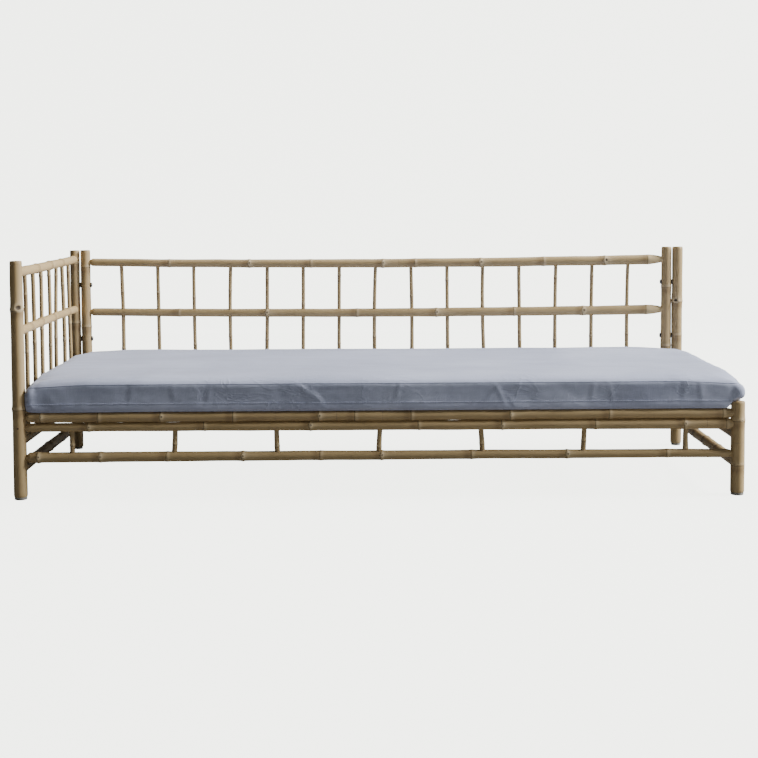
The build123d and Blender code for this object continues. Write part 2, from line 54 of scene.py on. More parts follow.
class Wire:
    def __init__(self, board, socket):
        self.board, self.socket = board, socket

    def isVector(self):
        return self.socket.type in ("VECTOR", "RGBA")

    def math(self, operation, *others):
        return self.board.add("ShaderNodeMath", {"operation": operation}, dict(enumerate((self, *others))))

    def vector(self, operation, *others, out=0):
        return self.board.add(
            "ShaderNodeVectorMath", {"operation": operation}, dict(enumerate((self, *others))), out
        )

    def join(self, operation, first, second):
        wires = [w for w in (first, second) if isinstance(w, Wire)]
        if not any(w.isVector() for w in wires):
            return self.board.add("ShaderNodeMath", {"operation": operation}, {0: first, 1: second})
        if operation == "MULTIPLY" and isSingle(second):
            return self.board.add("ShaderNodeVectorMath", {"operation": "SCALE"},
                                  {0: first, "Scale": second})
        if operation == "MULTIPLY" and isSingle(first):
            return self.board.add("ShaderNodeVectorMath", {"operation": "SCALE"},
                                  {0: second, "Scale": first})
        return self.board.add("ShaderNodeVectorMath", {"operation": operation}, {0: first, 1: second})

    def __add__(self, other):
        return self.join("ADD", self, other)

    __radd__ = __add__

    def __sub__(self, other):
        return self.join("SUBTRACT", self, other)

    def __rsub__(self, other):
        return self.join("SUBTRACT", other, self)

    def __mul__(self, other):
        return self.join("MULTIPLY", self, other)

    __rmul__ = __mul__

    def __truediv__(self, other):
        return self.join("DIVIDE", self, other)

    def low(self, other):
        return self.math("MINIMUM", other)

    def high(self, other):
        return self.math("MAXIMUM", other)

    def power(self, other):
        return self.math("POWER", other)

    def bell(self, width):  # 1 where the value is 0, falling off on both sides
        share = self / width
        return (share * share * -1.0).math("EXPONENT")

    def ramp(self, low, high):  # 0 below low, 1 above high, eased between
        return self.board.add(
            "ShaderNodeMapRange", {"interpolation_type": "SMOOTHSTEP"},
            {"Value": self, "From Min": low, "From Max": high, "To Min": 0.0, "To Max": 1.0},
        )

    def dot(self, other):
        return self.vector("DOT_PRODUCT", other, out="Value")

    def length(self):
        return self.vector("LENGTH", out="Value")

    def unit(self):
        return self.vector("NORMALIZE")


class Board:
    def __init__(self, tree):
        self.tree = tree

    def pick(self, sockets, key):
        if isinstance(key, int):
            return sockets[key]
        for socket in sockets:
            if socket.identifier == key:
                return socket
        return sockets[key]

    def add(self, kind, settings=None, values=None, out=0):
        made = self.tree.nodes.new(kind)
        for name, value in (settings or {}).items():
            setattr(made, name, value)
        for key, value in (values or {}).items():
            socket = self.pick(made.inputs, key)
            if isinstance(value, Wire):
                self.tree.links.new(value.socket, socket)
            else:
                socket.default_value = value
        if len(made.outputs) == 0:
            return made
        return Wire(self, self.pick(made.outputs, out))

    def twin(self, wire, out):
        return Wire(self, self.pick(wire.socket.node.outputs, out))

    def blend(self, share, first, second):
        return self.add(
            "ShaderNodeMix", {"data_type": "RGBA"},
            {"Factor_Float": share, "A_Color": first, "B_Color": second}, "Result_Color",
        )

    def noise(self, place, scale, detail=3.0, roughness=0.5, distortion=0.0):
        return self.add(
            "ShaderNodeTexNoise", {"noise_dimensions": "3D"},
            {"Vector": place, "Scale": scale, "Detail": detail, "Roughness": roughness,
             "Distortion": distortion},
        )

    def attribute(self, name, out="Fac"):
        return self.add("ShaderNodeAttribute", {"attribute_name": name}, {}, out)


def openTree(name, sockets, result):
    # a new Geometry Nodes tree with named inputs, and those inputs as wires
    tree = bpy.data.node_groups.new(name, "GeometryNodeTree")
    board = Board(tree)
    for label, kind in sockets:
        tree.interface.new_socket(name=label, in_out="INPUT", socket_type="NodeSocket" + kind)
    tree.interface.new_socket(name=result, in_out="OUTPUT", socket_type="NodeSocketGeometry")
    source = tree.nodes.new("NodeGroupInput")
    return tree, board, {label: Wire(board, source.outputs[label]) for label, _ in sockets}


def closeTree(tree, finished):
    result = tree.nodes.new("NodeGroupOutput")
    tree.links.new(finished.socket, result.inputs[0])
    return tree


def rgb(red, green, blue):
    return (red, green, blue, 1.0)


def newMaterial(name, roughness, coat=0.0, sheen=0.0, metallic=0.0):
    material = bpy.data.materials.new(name)
    material.use_nodes = True
    board = Board(material.node_tree)
    shader = material.node_tree.nodes["Principled BSDF"]
    shader.inputs["Roughness"].default_value = roughness
    shader.inputs["Coat Weight"].default_value = coat
    shader.inputs["Sheen Weight"].default_value = sheen
    shader.inputs["Metallic"].default_value = metallic
    return material, board, shader


def feed(board, wire, shader, socket):
    board.tree.links.new(wire.socket, shader.inputs[socket])


def addBump(board, shader, height, strength, distance):
    bump = board.add("ShaderNodeBump", {}, {"Strength": strength, "Distance": distance, "Height": height})
    feed(board, bump, shader, "Normal")


# cane: colour and grain from what each culm carries in its own mesh

caneLook = {
    "straw": rgb(0.56, 0.405, 0.20),
    "olive": rgb(0.42, 0.305, 0.14),
    "brown": rgb(0.21, 0.125, 0.055),
    "pale": rgb(0.70, 0.56, 0.34),
    "line": rgb(0.10, 0.06, 0.03),
    "eye": rgb(0.03, 0.017, 0.01),
    "cutWood": rgb(0.70, 0.54, 0.29),
    # painted shade: the floor of the bore in the sawn post tops is coloured near black for the shade down
    # the hollow
    "paintedBoreShade": rgb(0.09, 0.06, 0.035),
    "roughness": 0.46,
    "fibreScale": 240.0,
    "fibreStretch": 0.03,
    "mottleScale": 34.0,
    "mottleStretch": 0.16,
    "cloudScale": 9.0,
    "speckScale": 420.0,
    "bump": 0.0005,
}


def caneMaterial():
    look = caneLook
    material, board, shader = newMaterial("bambooCane", look["roughness"], coat=0.06)
    grain = board.attribute("grain", "Vector")
    joint = board.attribute("joint")
    eye = board.attribute("eye")
    cut = board.attribute("cut")
    tone = board.attribute("tone")

    def stretched(share):
        return board.add("ShaderNodeMapping", {}, {"Vector": grain, "Scale": (1.0, 1.0, share)})

    along = stretched(look["fibreStretch"])
    fibres = board.noise(along, look["fibreScale"], 4.0, 0.6)
    fineFibres = board.noise(along, look["fibreScale"] * 3.1, 3.0, 0.6)
    mottle = board.noise(stretched(look["mottleStretch"]), look["mottleScale"], 4.0, 0.62, 0.4)
    cloud = board.noise(grain, look["cloudScale"], 2.0, 0.5)
    speck = board.noise(grain, look["speckScale"], 2.0, 0.5)
    wavy = joint + (cloud - 0.5) * 0.004
    darkLine = (joint + 0.0008).bell(0.0011)
    bareWood = board.blend(fibres.ramp(0.45, 0.8) * 0.5, look["cutWood"], look["straw"])
    body = board.blend(tone, look["olive"], look["straw"])
    layers = (  # how much of each colour, from the skin up
        (cloud.ramp(0.35, 0.75) * 0.5, look["straw"]),
        (mottle.ramp(0.5, 0.78) * 0.42, look["brown"]),
        (fibres.ramp(0.5, 0.85) * 0.22, look["brown"]),
        (fineFibres.ramp(0.55, 0.8) * 0.16, look["pale"]),
        (speck.ramp(0.66, 0.74) * 0.3, look["brown"]),
        ((wavy + 0.012).bell(0.012) * 0.42, look["brown"]),
        ((wavy - 0.0052).bell(0.0046) * 0.42, look["pale"]),
        (darkLine * 0.66, look["line"]),
        (board.attribute("tail") * 0.62, look["pale"]),
        ((eye - 1.2).bell(0.36) * 0.7, look["pale"]),
        ((1.0 - eye.ramp(0.5, 0.95)) * 0.92, look["eye"]),
        (cut, bareWood),
        # painted shade: the near-black floor of the bore stands for the shade down the hollow cane
        (board.attribute("paintedBoreShade"), look["paintedBoreShade"]),
    )
    for share, colour in layers:
        body = board.blend(share, body, colour)
    feed(board, body, shader, "Base Color")
    rough = 0.40 + mottle * 0.16 + cut * 0.22 + fibres * 0.1
    feed(board, rough, shader, "Roughness")
    height = fibres * 0.6 + fineFibres * 0.25 + mottle * 0.35 - darkLine * 0.8
    addBump(board, shader, height, 0.55, look["bump"])
    return material


# the culm tree: a tapered cane with knots, a bow, buds and whittled ends

culmShape = {
    "endRows": 0.02,  # rings gather in this much of each end
    "gather": 0.68, "gatherReach": 0.016,  # and round each knot
    "lumps": 0.07, "grooveWidth": 0.0014, "tailLength": 0.024, "chips": 0.0022, "boreDepth": 0.012,
}


def caneTree():
    shape = culmShape
    tree, board, given = openTree("caneCulm", (
        ("Knots", "Geometry"), ("Start", "Vector"), ("End", "Vector"), ("Start Radius", "Float"),
        ("End Radius", "Float"), ("Bow", "Vector"), ("Wander", "Float"), ("Seed", "Float"),
        ("Sides", "Int"), ("Step", "Float"), ("Start Tip", "Float"), ("Start Tenon", "Float"),
        ("Start Whittle", "Float"), ("End Tip", "Float"), ("End Tenon", "Float"),
        ("End Whittle", "Float"), ("Start Bare", "Float"), ("End Bare", "Float"), ("Tone", "Float"),
        ("Knot Width", "Float"), ("Bore", "Float"), ("Finish", "Material"),
    ), "Cane")
    start, run = given["Start"], given["End"] - given["Start"]
    length, axis = run.length(), run.unit()
    line = board.add("GeometryNodeCurvePrimitiveLine", {"mode": "POINTS"},
                     {"Start": start, "End": given["End"]})
    rings = board.add("GeometryNodeResampleCurve", {},
                      {"Curve": line, "Count": length / given["Step"] + 2.0})

    # rings stand closer at the two ends and round each knot
    along = board.add("GeometryNodeSplineParameter", {}, {}, "Length")
    near = shape["endRows"]
    first = (along / near).low(1.0)
    along = first * first * near + (along - near).high(0.0)
    last = ((length - along) / near).low(1.0)
    along = length - (last * last * near + (length - along - near).high(0.0))
    spot = start + axis * along
    nearest = board.add("GeometryNodeSampleNearest", {"domain": "POINT"},
                        {"Geometry": given["Knots"], "Sample Position": spot})

    def fromKnot(value, kind):
        return board.add("GeometryNodeSampleIndex", {"data_type": kind, "domain": "POINT"},
                         {"Geometry": given["Knots"], "Value": value, "Index": nearest})

    def named(name, kind):
        return board.add("GeometryNodeInputNamedAttribute", {"data_type": kind}, {"Name": name},
                         "Attribute")

    def keep(geometry, name, value, kind="FLOAT"):
        return board.add("GeometryNodeStoreNamedAttribute", {"data_type": kind, "domain": "POINT"},
                         {"Geometry": geometry, "Name": name, "Value": value})

    knotPlace = fromKnot(board.add("GeometryNodeInputPosition"), "FLOAT_VECTOR")
    knotAt = (knotPlace - start).dot(axis)
    away = along - knotAt
    pull = (away.math("ABSOLUTE") * (-1.0 / shape["gatherReach"])).math("EXPONENT")
    away = away * (1.0 - pull * shape["gather"])
    rings = keep(rings, "joint", away)
    rings = keep(rings, "tall", fromKnot(named("tall", "FLOAT"), "FLOAT"))
    rings = keep(rings, "budSize", fromKnot(named("budSize", "FLOAT"), "FLOAT"))
    rings = keep(rings, "budSide", fromKnot(named("budSide", "FLOAT_VECTOR"), "FLOAT_VECTOR"),
                 "FLOAT_VECTOR")
    rings = keep(rings, "along", knotAt + away)

    # the bow and the small wander of a grown cane, both nothing at the ends
    along, joint = named("along", "FLOAT"), named("joint", "FLOAT")
    share = along / length
    lean = share * (1.0 - share) * 4.0
    seed = given["Seed"]
    seeded = board.add("ShaderNodeCombineXYZ", {}, {"X": seed, "Y": along * 5.5, "Z": seed * 0.37})
    drift = board.add("ShaderNodeTexNoise", {"noise_dimensions": "3D"},
                      {"Vector": seeded, "Scale": 1.0, "Detail": 1.0}, "Color")
    drift = (drift - (0.5, 0.5, 0.5)) * (given["Wander"] * 2.0 * (lean * 2.5).low(1.0))
    centre = start + axis * along + given["Bow"] * lean + drift
    rings = board.add("GeometryNodeSetPosition", {}, {"Geometry": rings, "Position": centre})

    # radius: taper, small lumps, the knot's swelling and the groove beside it, the whittled ends
    lump = board.add("ShaderNodeTexNoise", {"noise_dimensions": "3D"},
                     {"Vector": seeded + (7.0, 0.0, 3.0), "Scale": 2.3, "Detail": 2.0})
    radius = given["Start Radius"] + (given["End Radius"] - given["Start Radius"]) * share
    radius = radius * (1.0 + (lump - 0.5) * shape["lumps"])
    tall = named("tall", "FLOAT")
    swelling = (joint - 0.0015).bell(given["Knot Width"])
    swelling = swelling + (joint - 0.001).bell(given["Knot Width"] * 3.2) * 0.35
    groove = (joint + 0.0012).bell(shape["grooveWidth"]) * 0.5
    radius = radius + tall * (swelling - groove)

    def whittled(distance, tenon, whittle, tip, bare):
        cutShare = ((distance - tenon) / whittle).high(0.0).low(1.0)
        bulge = 1.0 - (1.0 - cutShare).power(1.8)
        cutRadius = tip + (radius - tip).high(0.0) * bulge
        ragged = (lump - 0.5) * 0.012
        mask = (1.0 - (distance - tenon - whittle + ragged + 0.001).ramp(-0.001, 0.001)) * bare
        return cutRadius, mask

    startCut, startMask = whittled(along, given["Start Tenon"], given["Start Whittle"],
                                   given["Start Tip"], given["Start Bare"])
    endCut, endMask = whittled(length - along, given["End Tenon"], given["End Whittle"],
                               given["End Tip"], given["End Bare"])
    rings = keep(rings, "girth", startCut.low(endCut))
    rings = keep(rings, "cut", startMask.high(endMask))
    rings = keep(rings, "centre", centre, "FLOAT_VECTOR")
    girth = named("girth", "FLOAT")
    circle = board.add("GeometryNodeCurvePrimitiveCircle", {},
                       {"Resolution": given["Sides"], "Radius": 1.0})
    cane = board.add("GeometryNodeCurveToMesh", {},
                     {"Curve": rings, "Profile Curve": circle, "Scale": girth, "Fill Caps": True})

    # a bud scar on the side it grew from: a raised rim round a small hollow
    middle = named("centre", "FLOAT_VECTOR")
    out = board.add("GeometryNodeInputPosition") - middle
    outward = out.unit()
    size = named("budSize", "FLOAT").high(0.00001)
    arc = outward.dot(named("budSide", "FLOAT_VECTOR")).low(1.0).high(-1.0).math("ARCCOSINE") * girth
    up = (joint - size * 0.6) / (size * 0.62)
    side = arc / (size * 0.85)
    eye = (up * up + side * side).math("SQRT").low(4.0)
    tail = (arc / (size * 1.5)).bell(1.0)
    tail = tail * (joint.high(0.0) * (-1.0 / shape["tailLength"])).math("EXPONENT")
    tail = tail * (joint * 2000.0).low(1.0).high(0.0) * (size * 1000.0).low(1.0)
    cane = keep(cane, "tail", tail)
    cane = keep(cane, "eye", eye)
    eye = named("eye", "FLOAT")
    relief = size * ((eye - 1.15).bell(0.45) * 0.14 - eye.bell(0.65) * 0.28)
    facets = board.noise(out * 60.0 + axis * (along * 30.0), 1.0, 1.0)
    relief = relief + (facets - 0.5) * named("cut", "FLOAT") * shape["chips"]
    square = axis.vector("CROSS_PRODUCT", (0.31, 0.52, 0.79)).unit()
    across = axis.vector("CROSS_PRODUCT", square)
    offset = board.add("ShaderNodeCombineXYZ", {}, {"X": out.dot(square), "Y": out.dot(across), "Z": along})
    cane = keep(cane, "grain", offset + board.add(
        "ShaderNodeCombineXYZ", {}, {"X": seed, "Y": seed * 1.7, "Z": seed * 0.9}),
        "FLOAT_VECTOR")
    cane = board.add("GeometryNodeSetPosition", {}, {"Geometry": cane, "Offset": outward * relief})
    cane = keep(cane, "tone", given["Tone"])
    cane = keep(cane, "paintedBoreShade", 0.0)

    # the sawn ends: flat, with the small hollow of the cane let into them
    corners = board.add("GeometryNodeCornersOfFace", {}, {}, "Total")
    isCap = board.add("FunctionNodeCompare", {"data_type": "INT", "operation": "GREATER_THAN"},
                      {"A_INT": corners, "B_INT": 5})
    notCap = board.add("FunctionNodeBooleanMath", {"operation": "NOT"}, {0: isCap})
    cane = board.add("GeometryNodeSetShadeSmooth", {"domain": "FACE"},
                     {"Geometry": cane, "Selection": notCap, "Shade Smooth": True})
    flat = board.add("GeometryNodeSetShadeSmooth", {"domain": "FACE"},
                     {"Geometry": cane, "Selection": isCap, "Shade Smooth": False})
    inset = board.add("GeometryNodeExtrudeMesh", {"mode": "FACES"},
                      {"Mesh": flat, "Selection": isCap, "Offset Scale": 0.0, "Individual": True})
    top = board.twin(inset, "Top")
    ring = board.add("GeometryNodeScaleElements", {"domain": "FACE"},
                     {"Geometry": inset, "Selection": top, "Scale": given["Bore"]})
    sunk = board.add("GeometryNodeExtrudeMesh", {"mode": "FACES"},
                     {"Mesh": ring, "Selection": top, "Offset Scale": -shape["boreDepth"],
                      "Individual": True})
    bottom = board.twin(sunk, "Top")
    # the floor of the hollow is marked for painted shade, coloured near black as the shade down the bore
    marked = board.add("GeometryNodeStoreNamedAttribute", {"data_type": "FLOAT", "domain": "POINT"},
                       {"Geometry": sunk, "Selection": bottom, "Name": "paintedBoreShade", "Value": 1.0})
    hasBore = board.add("FunctionNodeCompare", {"data_type": "FLOAT", "operation": "GREATER_THAN"},
                        {"A": given["Bore"], "B": 0.01})
    ended = board.add("GeometryNodeSwitch", {"input_type": "GEOMETRY"},
                      {"Switch": hasBore, "False": flat, "True": marked})
    solid = board.add("GeometryNodeRealizeInstances", {}, {"Geometry": ended})
    finished = board.add("GeometryNodeSetMaterial", {}, {"Geometry": solid, "Material": given["Finish"]})
    for name in ("tall", "budSize", "budSide", "along", "girth", "centre"):
        finished = board.add("GeometryNodeRemoveAttribute", {}, {"Geometry": finished, "Name": name})
    return closeTree(tree, finished)


culmTree = caneTree()
cane = caneMaterial()
culmSocket = {item.name: item.identifier for item in culmTree.interface.items_tree if item.in_out == "INPUT"}
print("cane tree and material made")


def knotPoints(name, start, end, knots):
    # the tree's input: one point at each knot, with how tall it is and where its bud sits
    mesh = bpy.data.meshes.new(name + "Knots")
    run = end - start
    mesh.from_pydata([start + run * share for share, _, _, _ in knots], [], [])
    tall = mesh.attributes.new("tall", "FLOAT", "POINT")
    budSize = mesh.attributes.new("budSize", "FLOAT", "POINT")
    budSide = mesh.attributes.new("budSide", "FLOAT_VECTOR", "POINT")
    for i, (_, height, size, side) in enumerate(knots):
        tall.data[i].value, budSize.data[i].value = height, size
        budSide.data[i].vector = Vector(side).normalized()
    return bpy.data.objects.new(name + "Knots", mesh)


def growCane(name, start, end, knots, options):
    # evaluates the culm tree once and gives back a plain mesh
    source = knotPoints(name, start, end, knots)
    bpy.context.scene.collection.objects.link(source)
    grower = source.modifiers.new("culm", "NODES")
    grower.node_group = culmTree
    values = {"Start": start, "End": end, "Finish": cane, **options}
    for key, value in values.items():
        grower[culmSocket[key]] = tuple(value) if isinstance(value, Vector) else value
    depsgraph = bpy.context.evaluated_depsgraph_get()
    mesh = bpy.data.meshes.new_from_object(source.evaluated_get(depsgraph), depsgraph=depsgraph)
    mesh.name = name
    bpy.data.objects.remove(source)
    return mesh


def place(name, mesh, body, slotName, *replaced):
    piece = bpy.data.objects.new(name, mesh)
    bpy.context.scene.collection.objects.link(piece)
    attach(piece, body)
    if replaced:
        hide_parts(*replaced)
    return piece


def nodeLine(node, direction):
    # a pole's two ends from its CAD box
    low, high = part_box(node)
    middle = (low + high) / 2
    start, end = middle.copy(), middle.copy()
    start[direction], end[direction] = low[direction], high[direction]
    return start, end


caneBase = {
    "Bow": Vector((0, 0, 0)), "Wander": 0.0015, "Seed": 1.0, "Sides": 28, "Step": 0.006,
    "Start Tip": 0.0080, "Start Tenon": 0.020, "Start Whittle": 0.008,
    "End Tip": 0.0080, "End Tenon": 0.020, "End Whittle": 0.008,
    "Start Bare": 0.0, "End Bare": 0.0, "Tone": 0.4, "Knot Width": 0.0036, "Bore": 0.0,
}
front, back, right, left = (0, -1, 0), (0, 1, 0), (1, 0, 0), (-1, 0, 0)
ringTall = 0.0009
budTall = 0.0014


def ring(share, tall=ringTall):
    return (share, tall, 0.0, front)


def bud(share, size=0.0065, side=(0.1, -1, 0.15), tall=budTall):
    return (share, tall, size, side)


endRail = {"direction": 1, "bow": (0, 0, 0), "tenon": 0.0225, "startWhittle": 0.0035, "endWhittle": 0.0035}
whittledEnd = {"endWhittle": 0.046, "endTip": 0.0100, "endTenon": 0.0225}  # seen from the front

railLooks = {
    "front_upper_rail": {
        "direction": 0, "radii": (0.0136, 0.0136), "tone": 0.42, "bow": (0, 0, -0.0008), "tenon": 0.0262,
        "endTip": 0.0124, "endWhittle": 0.005,
        "ends": (-0.0014, -0.0008),
        "knots": (bud(0.033, 0.0055), ring(0.112), bud(0.198), ring(0.298), bud(0.4165),
                  ring(0.466, 0.0004),
                  ring(0.544), bud(0.681, 0.005), ring(0.818), ring(0.975, 0.0006)),
    },
    "front_lower_rail": {
        "direction": 0, "radii": (0.0118, 0.0149), "tone": 0.46, "bow": (0, 0, 0.0006), "tenon": 0.0262,
        "endTip": 0.0128, "endWhittle": 0.005,
        "ends": (0.0002, -0.0006),
        "knots": (bud(0.098, 0.0065, (0.2, -1, 0.1)), ring(0.258), bud(0.4035, 0.006, (0, -1, 0.25)),
                  ring(0.5535),
                  bud(0.669, 0.0055, (0, -1, -0.1)), ring(0.7985), bud(0.922, 0.0062), ring(0.98, 0.0006)),
    },
    "front_stretcher": {
        "direction": 0, "radii": (0.0144, 0.0114), "tone": 0.38, "bow": (0, 0, 0.001), "tenon": 0.0265,
        "knots": (bud(0.028, 0.006, (-0.1, -1, 0.2), 0.0022), bud(0.1135), ring(0.2055), bud(0.31, 0.006),
                  ring(0.4175), bud(0.502, 0.006), ring(0.6265), bud(0.759), ring(0.898)),
    },
    "back_top_rail": {
        "direction": 0, "radii": (0.0122, 0.0160), "tone": 0.30, "bow": (0, 0, -0.0090), "tenon": 0.0230,
        "ends": (0.003, 0.003), **whittledEnd, "endBare": 0.85,
        "knots": (ring(0.1455), bud(0.2815), ring(0.387), bud(0.51), ring(0.565), bud(0.677, 0.008),
                  ring(0.785),
                  bud(0.8895, 0.010), ring(0.9635, 0.0007)),
    },
    "back_middle_rail": {
        "direction": 0, "radii": (0.0122, 0.0155), "tone": 0.32, "bow": (0, 0, -0.0075), "tenon": 0.0230,
        "ends": (0.004, 0.002), **whittledEnd, "endBare": 0.75,
        "knots": (ring(0.161), bud(0.3105), ring(0.465), bud(0.601), ring(0.7345), bud(0.853, 0.009),
                  ring(0.9615, 0.0007)),
    },
    "back_bottom_rail": {
        "direction": 0, "radii": (0.0120, 0.0130), "tone": 0.35, "bow": (0, 0, 0), "tenon": 0.0230,
        "knots": (ring(0.11), bud(0.27, 0.006, back), ring(0.42), bud(0.58, 0.006, back), ring(0.73),
                  ring(0.88)),
    },
    "back_seat_rail": {
        "direction": 0, "radii": (0.0130, 0.0138), "tone": 0.4, "bow": (0, 0, 0), "tenon": 0.0235,
        "knots": (ring(0.06), bud(0.21, 0.006, back), ring(0.36), bud(0.52, 0.006, back), ring(0.67),
                  ring(0.81), ring(0.94)),
    },
    "back_stretcher": {
        "direction": 0, "radii": (0.0126, 0.0136), "tone": 0.34, "bow": (0, 0, 0.001), "tenon": 0.0235,
        "knots": (ring(0.09), bud(0.24, 0.006, back), ring(0.38), bud(0.55, 0.006, back), ring(0.7),
                  ring(0.86)),
    },
    "left_top_rail": {
        **endRail, "radii": (0.0136, 0.0126), "tone": 0.88, "bow": (0, 0, -0.002),
        "knots": (ring(0.3, 0.0012), bud(0.52, 0.006, right), ring(0.72, 0.0012)),
    },
    "left_middle_rail": {
        **endRail, "radii": (0.0126, 0.0120), "tone": 0.84, "bow": (0, 0, 0.003),
        "knots": (ring(0.19), bud(0.36, 0.005, right), ring(0.56), ring(0.83)),
    },
    "left_seat_rail": {
        **endRail, "radii": (0.0140, 0.0140), "tone": 0.25,
        "knots": (ring(0.32), bud(0.54, 0.006, left), ring(0.74)),
    },
    "left_stretcher": {
        **endRail, "radii": (0.0146, 0.0142), "tone": 0.25,
        "knots": (ring(0.24), bud(0.45, 0.006, left), ring(0.66)),
    },
    "right_seat_rail": {
        **endRail, "radii": (0.0140, 0.0140), "tone": 0.25,
        "knots": (ring(0.36), bud(0.52, 0.006, right), ring(0.7)),
    },
    "right_stretcher": {
        **endRail, "radii": (0.0146, 0.0142), "tone": 0.22,
        "knots": (ring(0.28), bud(0.46, 0.006, right), ring(0.62)),
    },
}


railFuller = 1.06  # the skin of the cane stands this much prouder than its plain round core


def buildRails():
    for number, (node, look) in enumerate(railLooks.items()):
        start, end = nodeLine(node, look["direction"])
        lifts = look.get("ends", (0.0, 0.0))
        start.z += lifts[0]
        end.z += lifts[1]
        options = {
            **caneBase, "Start Radius": look["radii"][0] * railFuller,
            "End Radius": look["radii"][1] * railFuller,
            "Bow": Vector(look["bow"]), "Seed": 3.7 * number + 1.0, "Tone": look["tone"],
            "Start Tenon": look["tenon"], "End Tenon": look.get("endTenon", look["tenon"]),
            "End Whittle": look.get("endWhittle", caneBase["End Whittle"]),
            "End Tip": look.get("endTip", caneBase["End Tip"]), "End Bare": look.get("endBare", 0.0),
            "Start Whittle": look.get("startWhittle", caneBase["Start Whittle"]),
        }
        mesh = growCane(node + "Cane", start, end, look["knots"], options)
        place(node + "_cane", mesh, "frame", "rail_cane", node)


postLooks = {
    "front_left_post": {"radii": (0.0195, 0.0175), "tone": 0.55,
                        "knots": (ring(0.372, 0.0014), bud(0.792, 0.0145, (0.55, -1, 0), 0.0016))},
    "front_right_post": {"radii": (0.0200, 0.0196), "tone": 0.60,
                         "knots": (ring(0.30, 0.0005), bud(0.785, 0.004, (0.4, -1, 0), 0.0012))},
    "back_left_post": {"radii": (0.0160, 0.0150), "tone": 0.52,
                       "knots": (ring(0.27), ring(0.63, 0.0009), ring(0.93, 0.0005))},
    "back_right_post": {"radii": (0.0175, 0.0167), "tone": 0.55,
                        "knots": (ring(0.36), bud(0.722, 0.0100, (-0.45, -1, 0), 0.0016),
                                  ring(0.55, 0.0005))},
    "back_panel_left_post": {"radii": (0.0165, 0.0152), "tone": 0.56,
                             "knots": (ring(0.38, 0.0008), ring(0.86, 0.0004))},
    "back_panel_right_post": {"radii": (0.0168, 0.0160), "tone": 0.58,
                              "knots": (ring(0.675, 0.0008), ring(0.2, 0.0006))},
}


postFuller = {"front": 1.01, "back": 1.06}


def buildPosts():
    for number, (node, look) in enumerate(postLooks.items()):
        start, end = nodeLine(node, 2)
        fuller = postFuller["back" if node.startswith("back") else "front"]
        widest = max(look["radii"]) * fuller
        options = {
            **caneBase, "Start Radius": look["radii"][0] * fuller, "End Radius": look["radii"][1] * fuller,
            "Seed": 5.3 * number + 40.0, "Tone": look["tone"], "Sides": 40, "Wander": 0.0012,
            "Start Tip": widest - 0.0016, "Start Tenon": 0.0, "Start Whittle": 0.003,
            "End Tip": look["radii"][1] * fuller - 0.0018, "End Tenon": 0.0, "End Whittle": 0.004,
            "Bore": 0.34,
            "Knot Width": 0.0055,
        }
        mesh = growCane(node + "Cane", start, end, look["knots"], options)
        place(node + "_cane", mesh, "frame", "post_cane", node)


spindleLook = {"radius": 0.0064, "shortRadius": 0.0077, "wander": 0.0009, "sides": 16, "step": 0.007}


def spindleOptions(radius, seed, rng, bow):
    return {
        **caneBase, "Start Radius": radius * rng.uniform(0.97, 1.08),
        "End Radius": radius * rng.uniform(0.90, 1.0), "Seed": seed, "Tone": rng.uniform(0.15, 0.6),
        "Sides": spindleLook["sides"], "Step": spindleLook["step"],
        "Start Tip": radius * 0.85, "Start Tenon": 0.0, "Start Whittle": 0.003,
        "End Tip": radius * 0.85, "End Tenon": 0.0, "End Whittle": 0.003,
        "Wander": spindleLook["wander"], "Bow": bow, "Knot Width": 0.0026,
    }


def thinKnots(rng, apart):
    # one knot every so often, the odd one with a small bud
    share, knots = rng.uniform(0.12, 0.5) * apart, []
    while share < 0.96:
        size = rng.choice((0.0, 0.0, 0.0030))
        angle = rng.uniform(0, 2 * math.pi)
        knots.append((share, 0.0006, size, (math.cos(angle), math.sin(angle), 0)))
        share += apart * rng.uniform(0.8, 1.25)
    return knots


def buildSpindles():
    rng = random.Random(11)
    groups = (  # name, how many, radius, share of the height between knots
        ("left_spindle", 7, spindleLook["radius"], 0.42),
        ("back_spindle", 15, spindleLook["radius"], 0.55),
        ("front_spindle", 7, spindleLook["shortRadius"], 0.9),
    )
    for family, count, radius, apart in groups:
        for number in range(1, count + 1):
            node = f"{family}_{number}"
            start, end = nodeLine(node, 2)
            tilt = Vector((rng.uniform(-0.0025, 0.0025), rng.uniform(-0.002, 0.002), 0))
            bow = Vector((rng.uniform(-0.003, 0.003), rng.uniform(-0.003, 0.003), 0))
            if family == "front_spindle":
                bow *= 0.4
            options = spindleOptions(radius, number * 2.9 + len(family) * 31.0, rng, bow)
            mesh = growCane(node + "Cane", start - tilt, end + tilt, thinKnots(rng, apart), options)
            place(node + "_cane", mesh, "frame", "thin_cane", node)


def islands(node):
    # the separate solids of a CAD node, as boxes, from left to right
    copy = nodes[node].data.copy()
    mesh = bmesh.new()
    mesh.from_mesh(copy)
    bmesh.ops.remove_doubles(mesh, verts=mesh.verts, dist=0.00001)
    todo, boxes = set(mesh.verts), []
    while todo:
        stack, low, high = [todo.pop()], Vector((9, 9, 9)), Vector((-9, -9, -9))
        while stack:
            vertex = stack.pop()
            low = Vector(map(min, low, vertex.co))
            high = Vector(map(max, high, vertex.co))
            for edge in vertex.link_edges:
                other = edge.other_vert(vertex)
                if other in todo:
                    todo.remove(other)
                    stack.append(other)
        boxes.append((low, high))
    mesh.free()
    bpy.data.meshes.remove(copy)
    return sorted(boxes, key=lambda box: box[0].x)


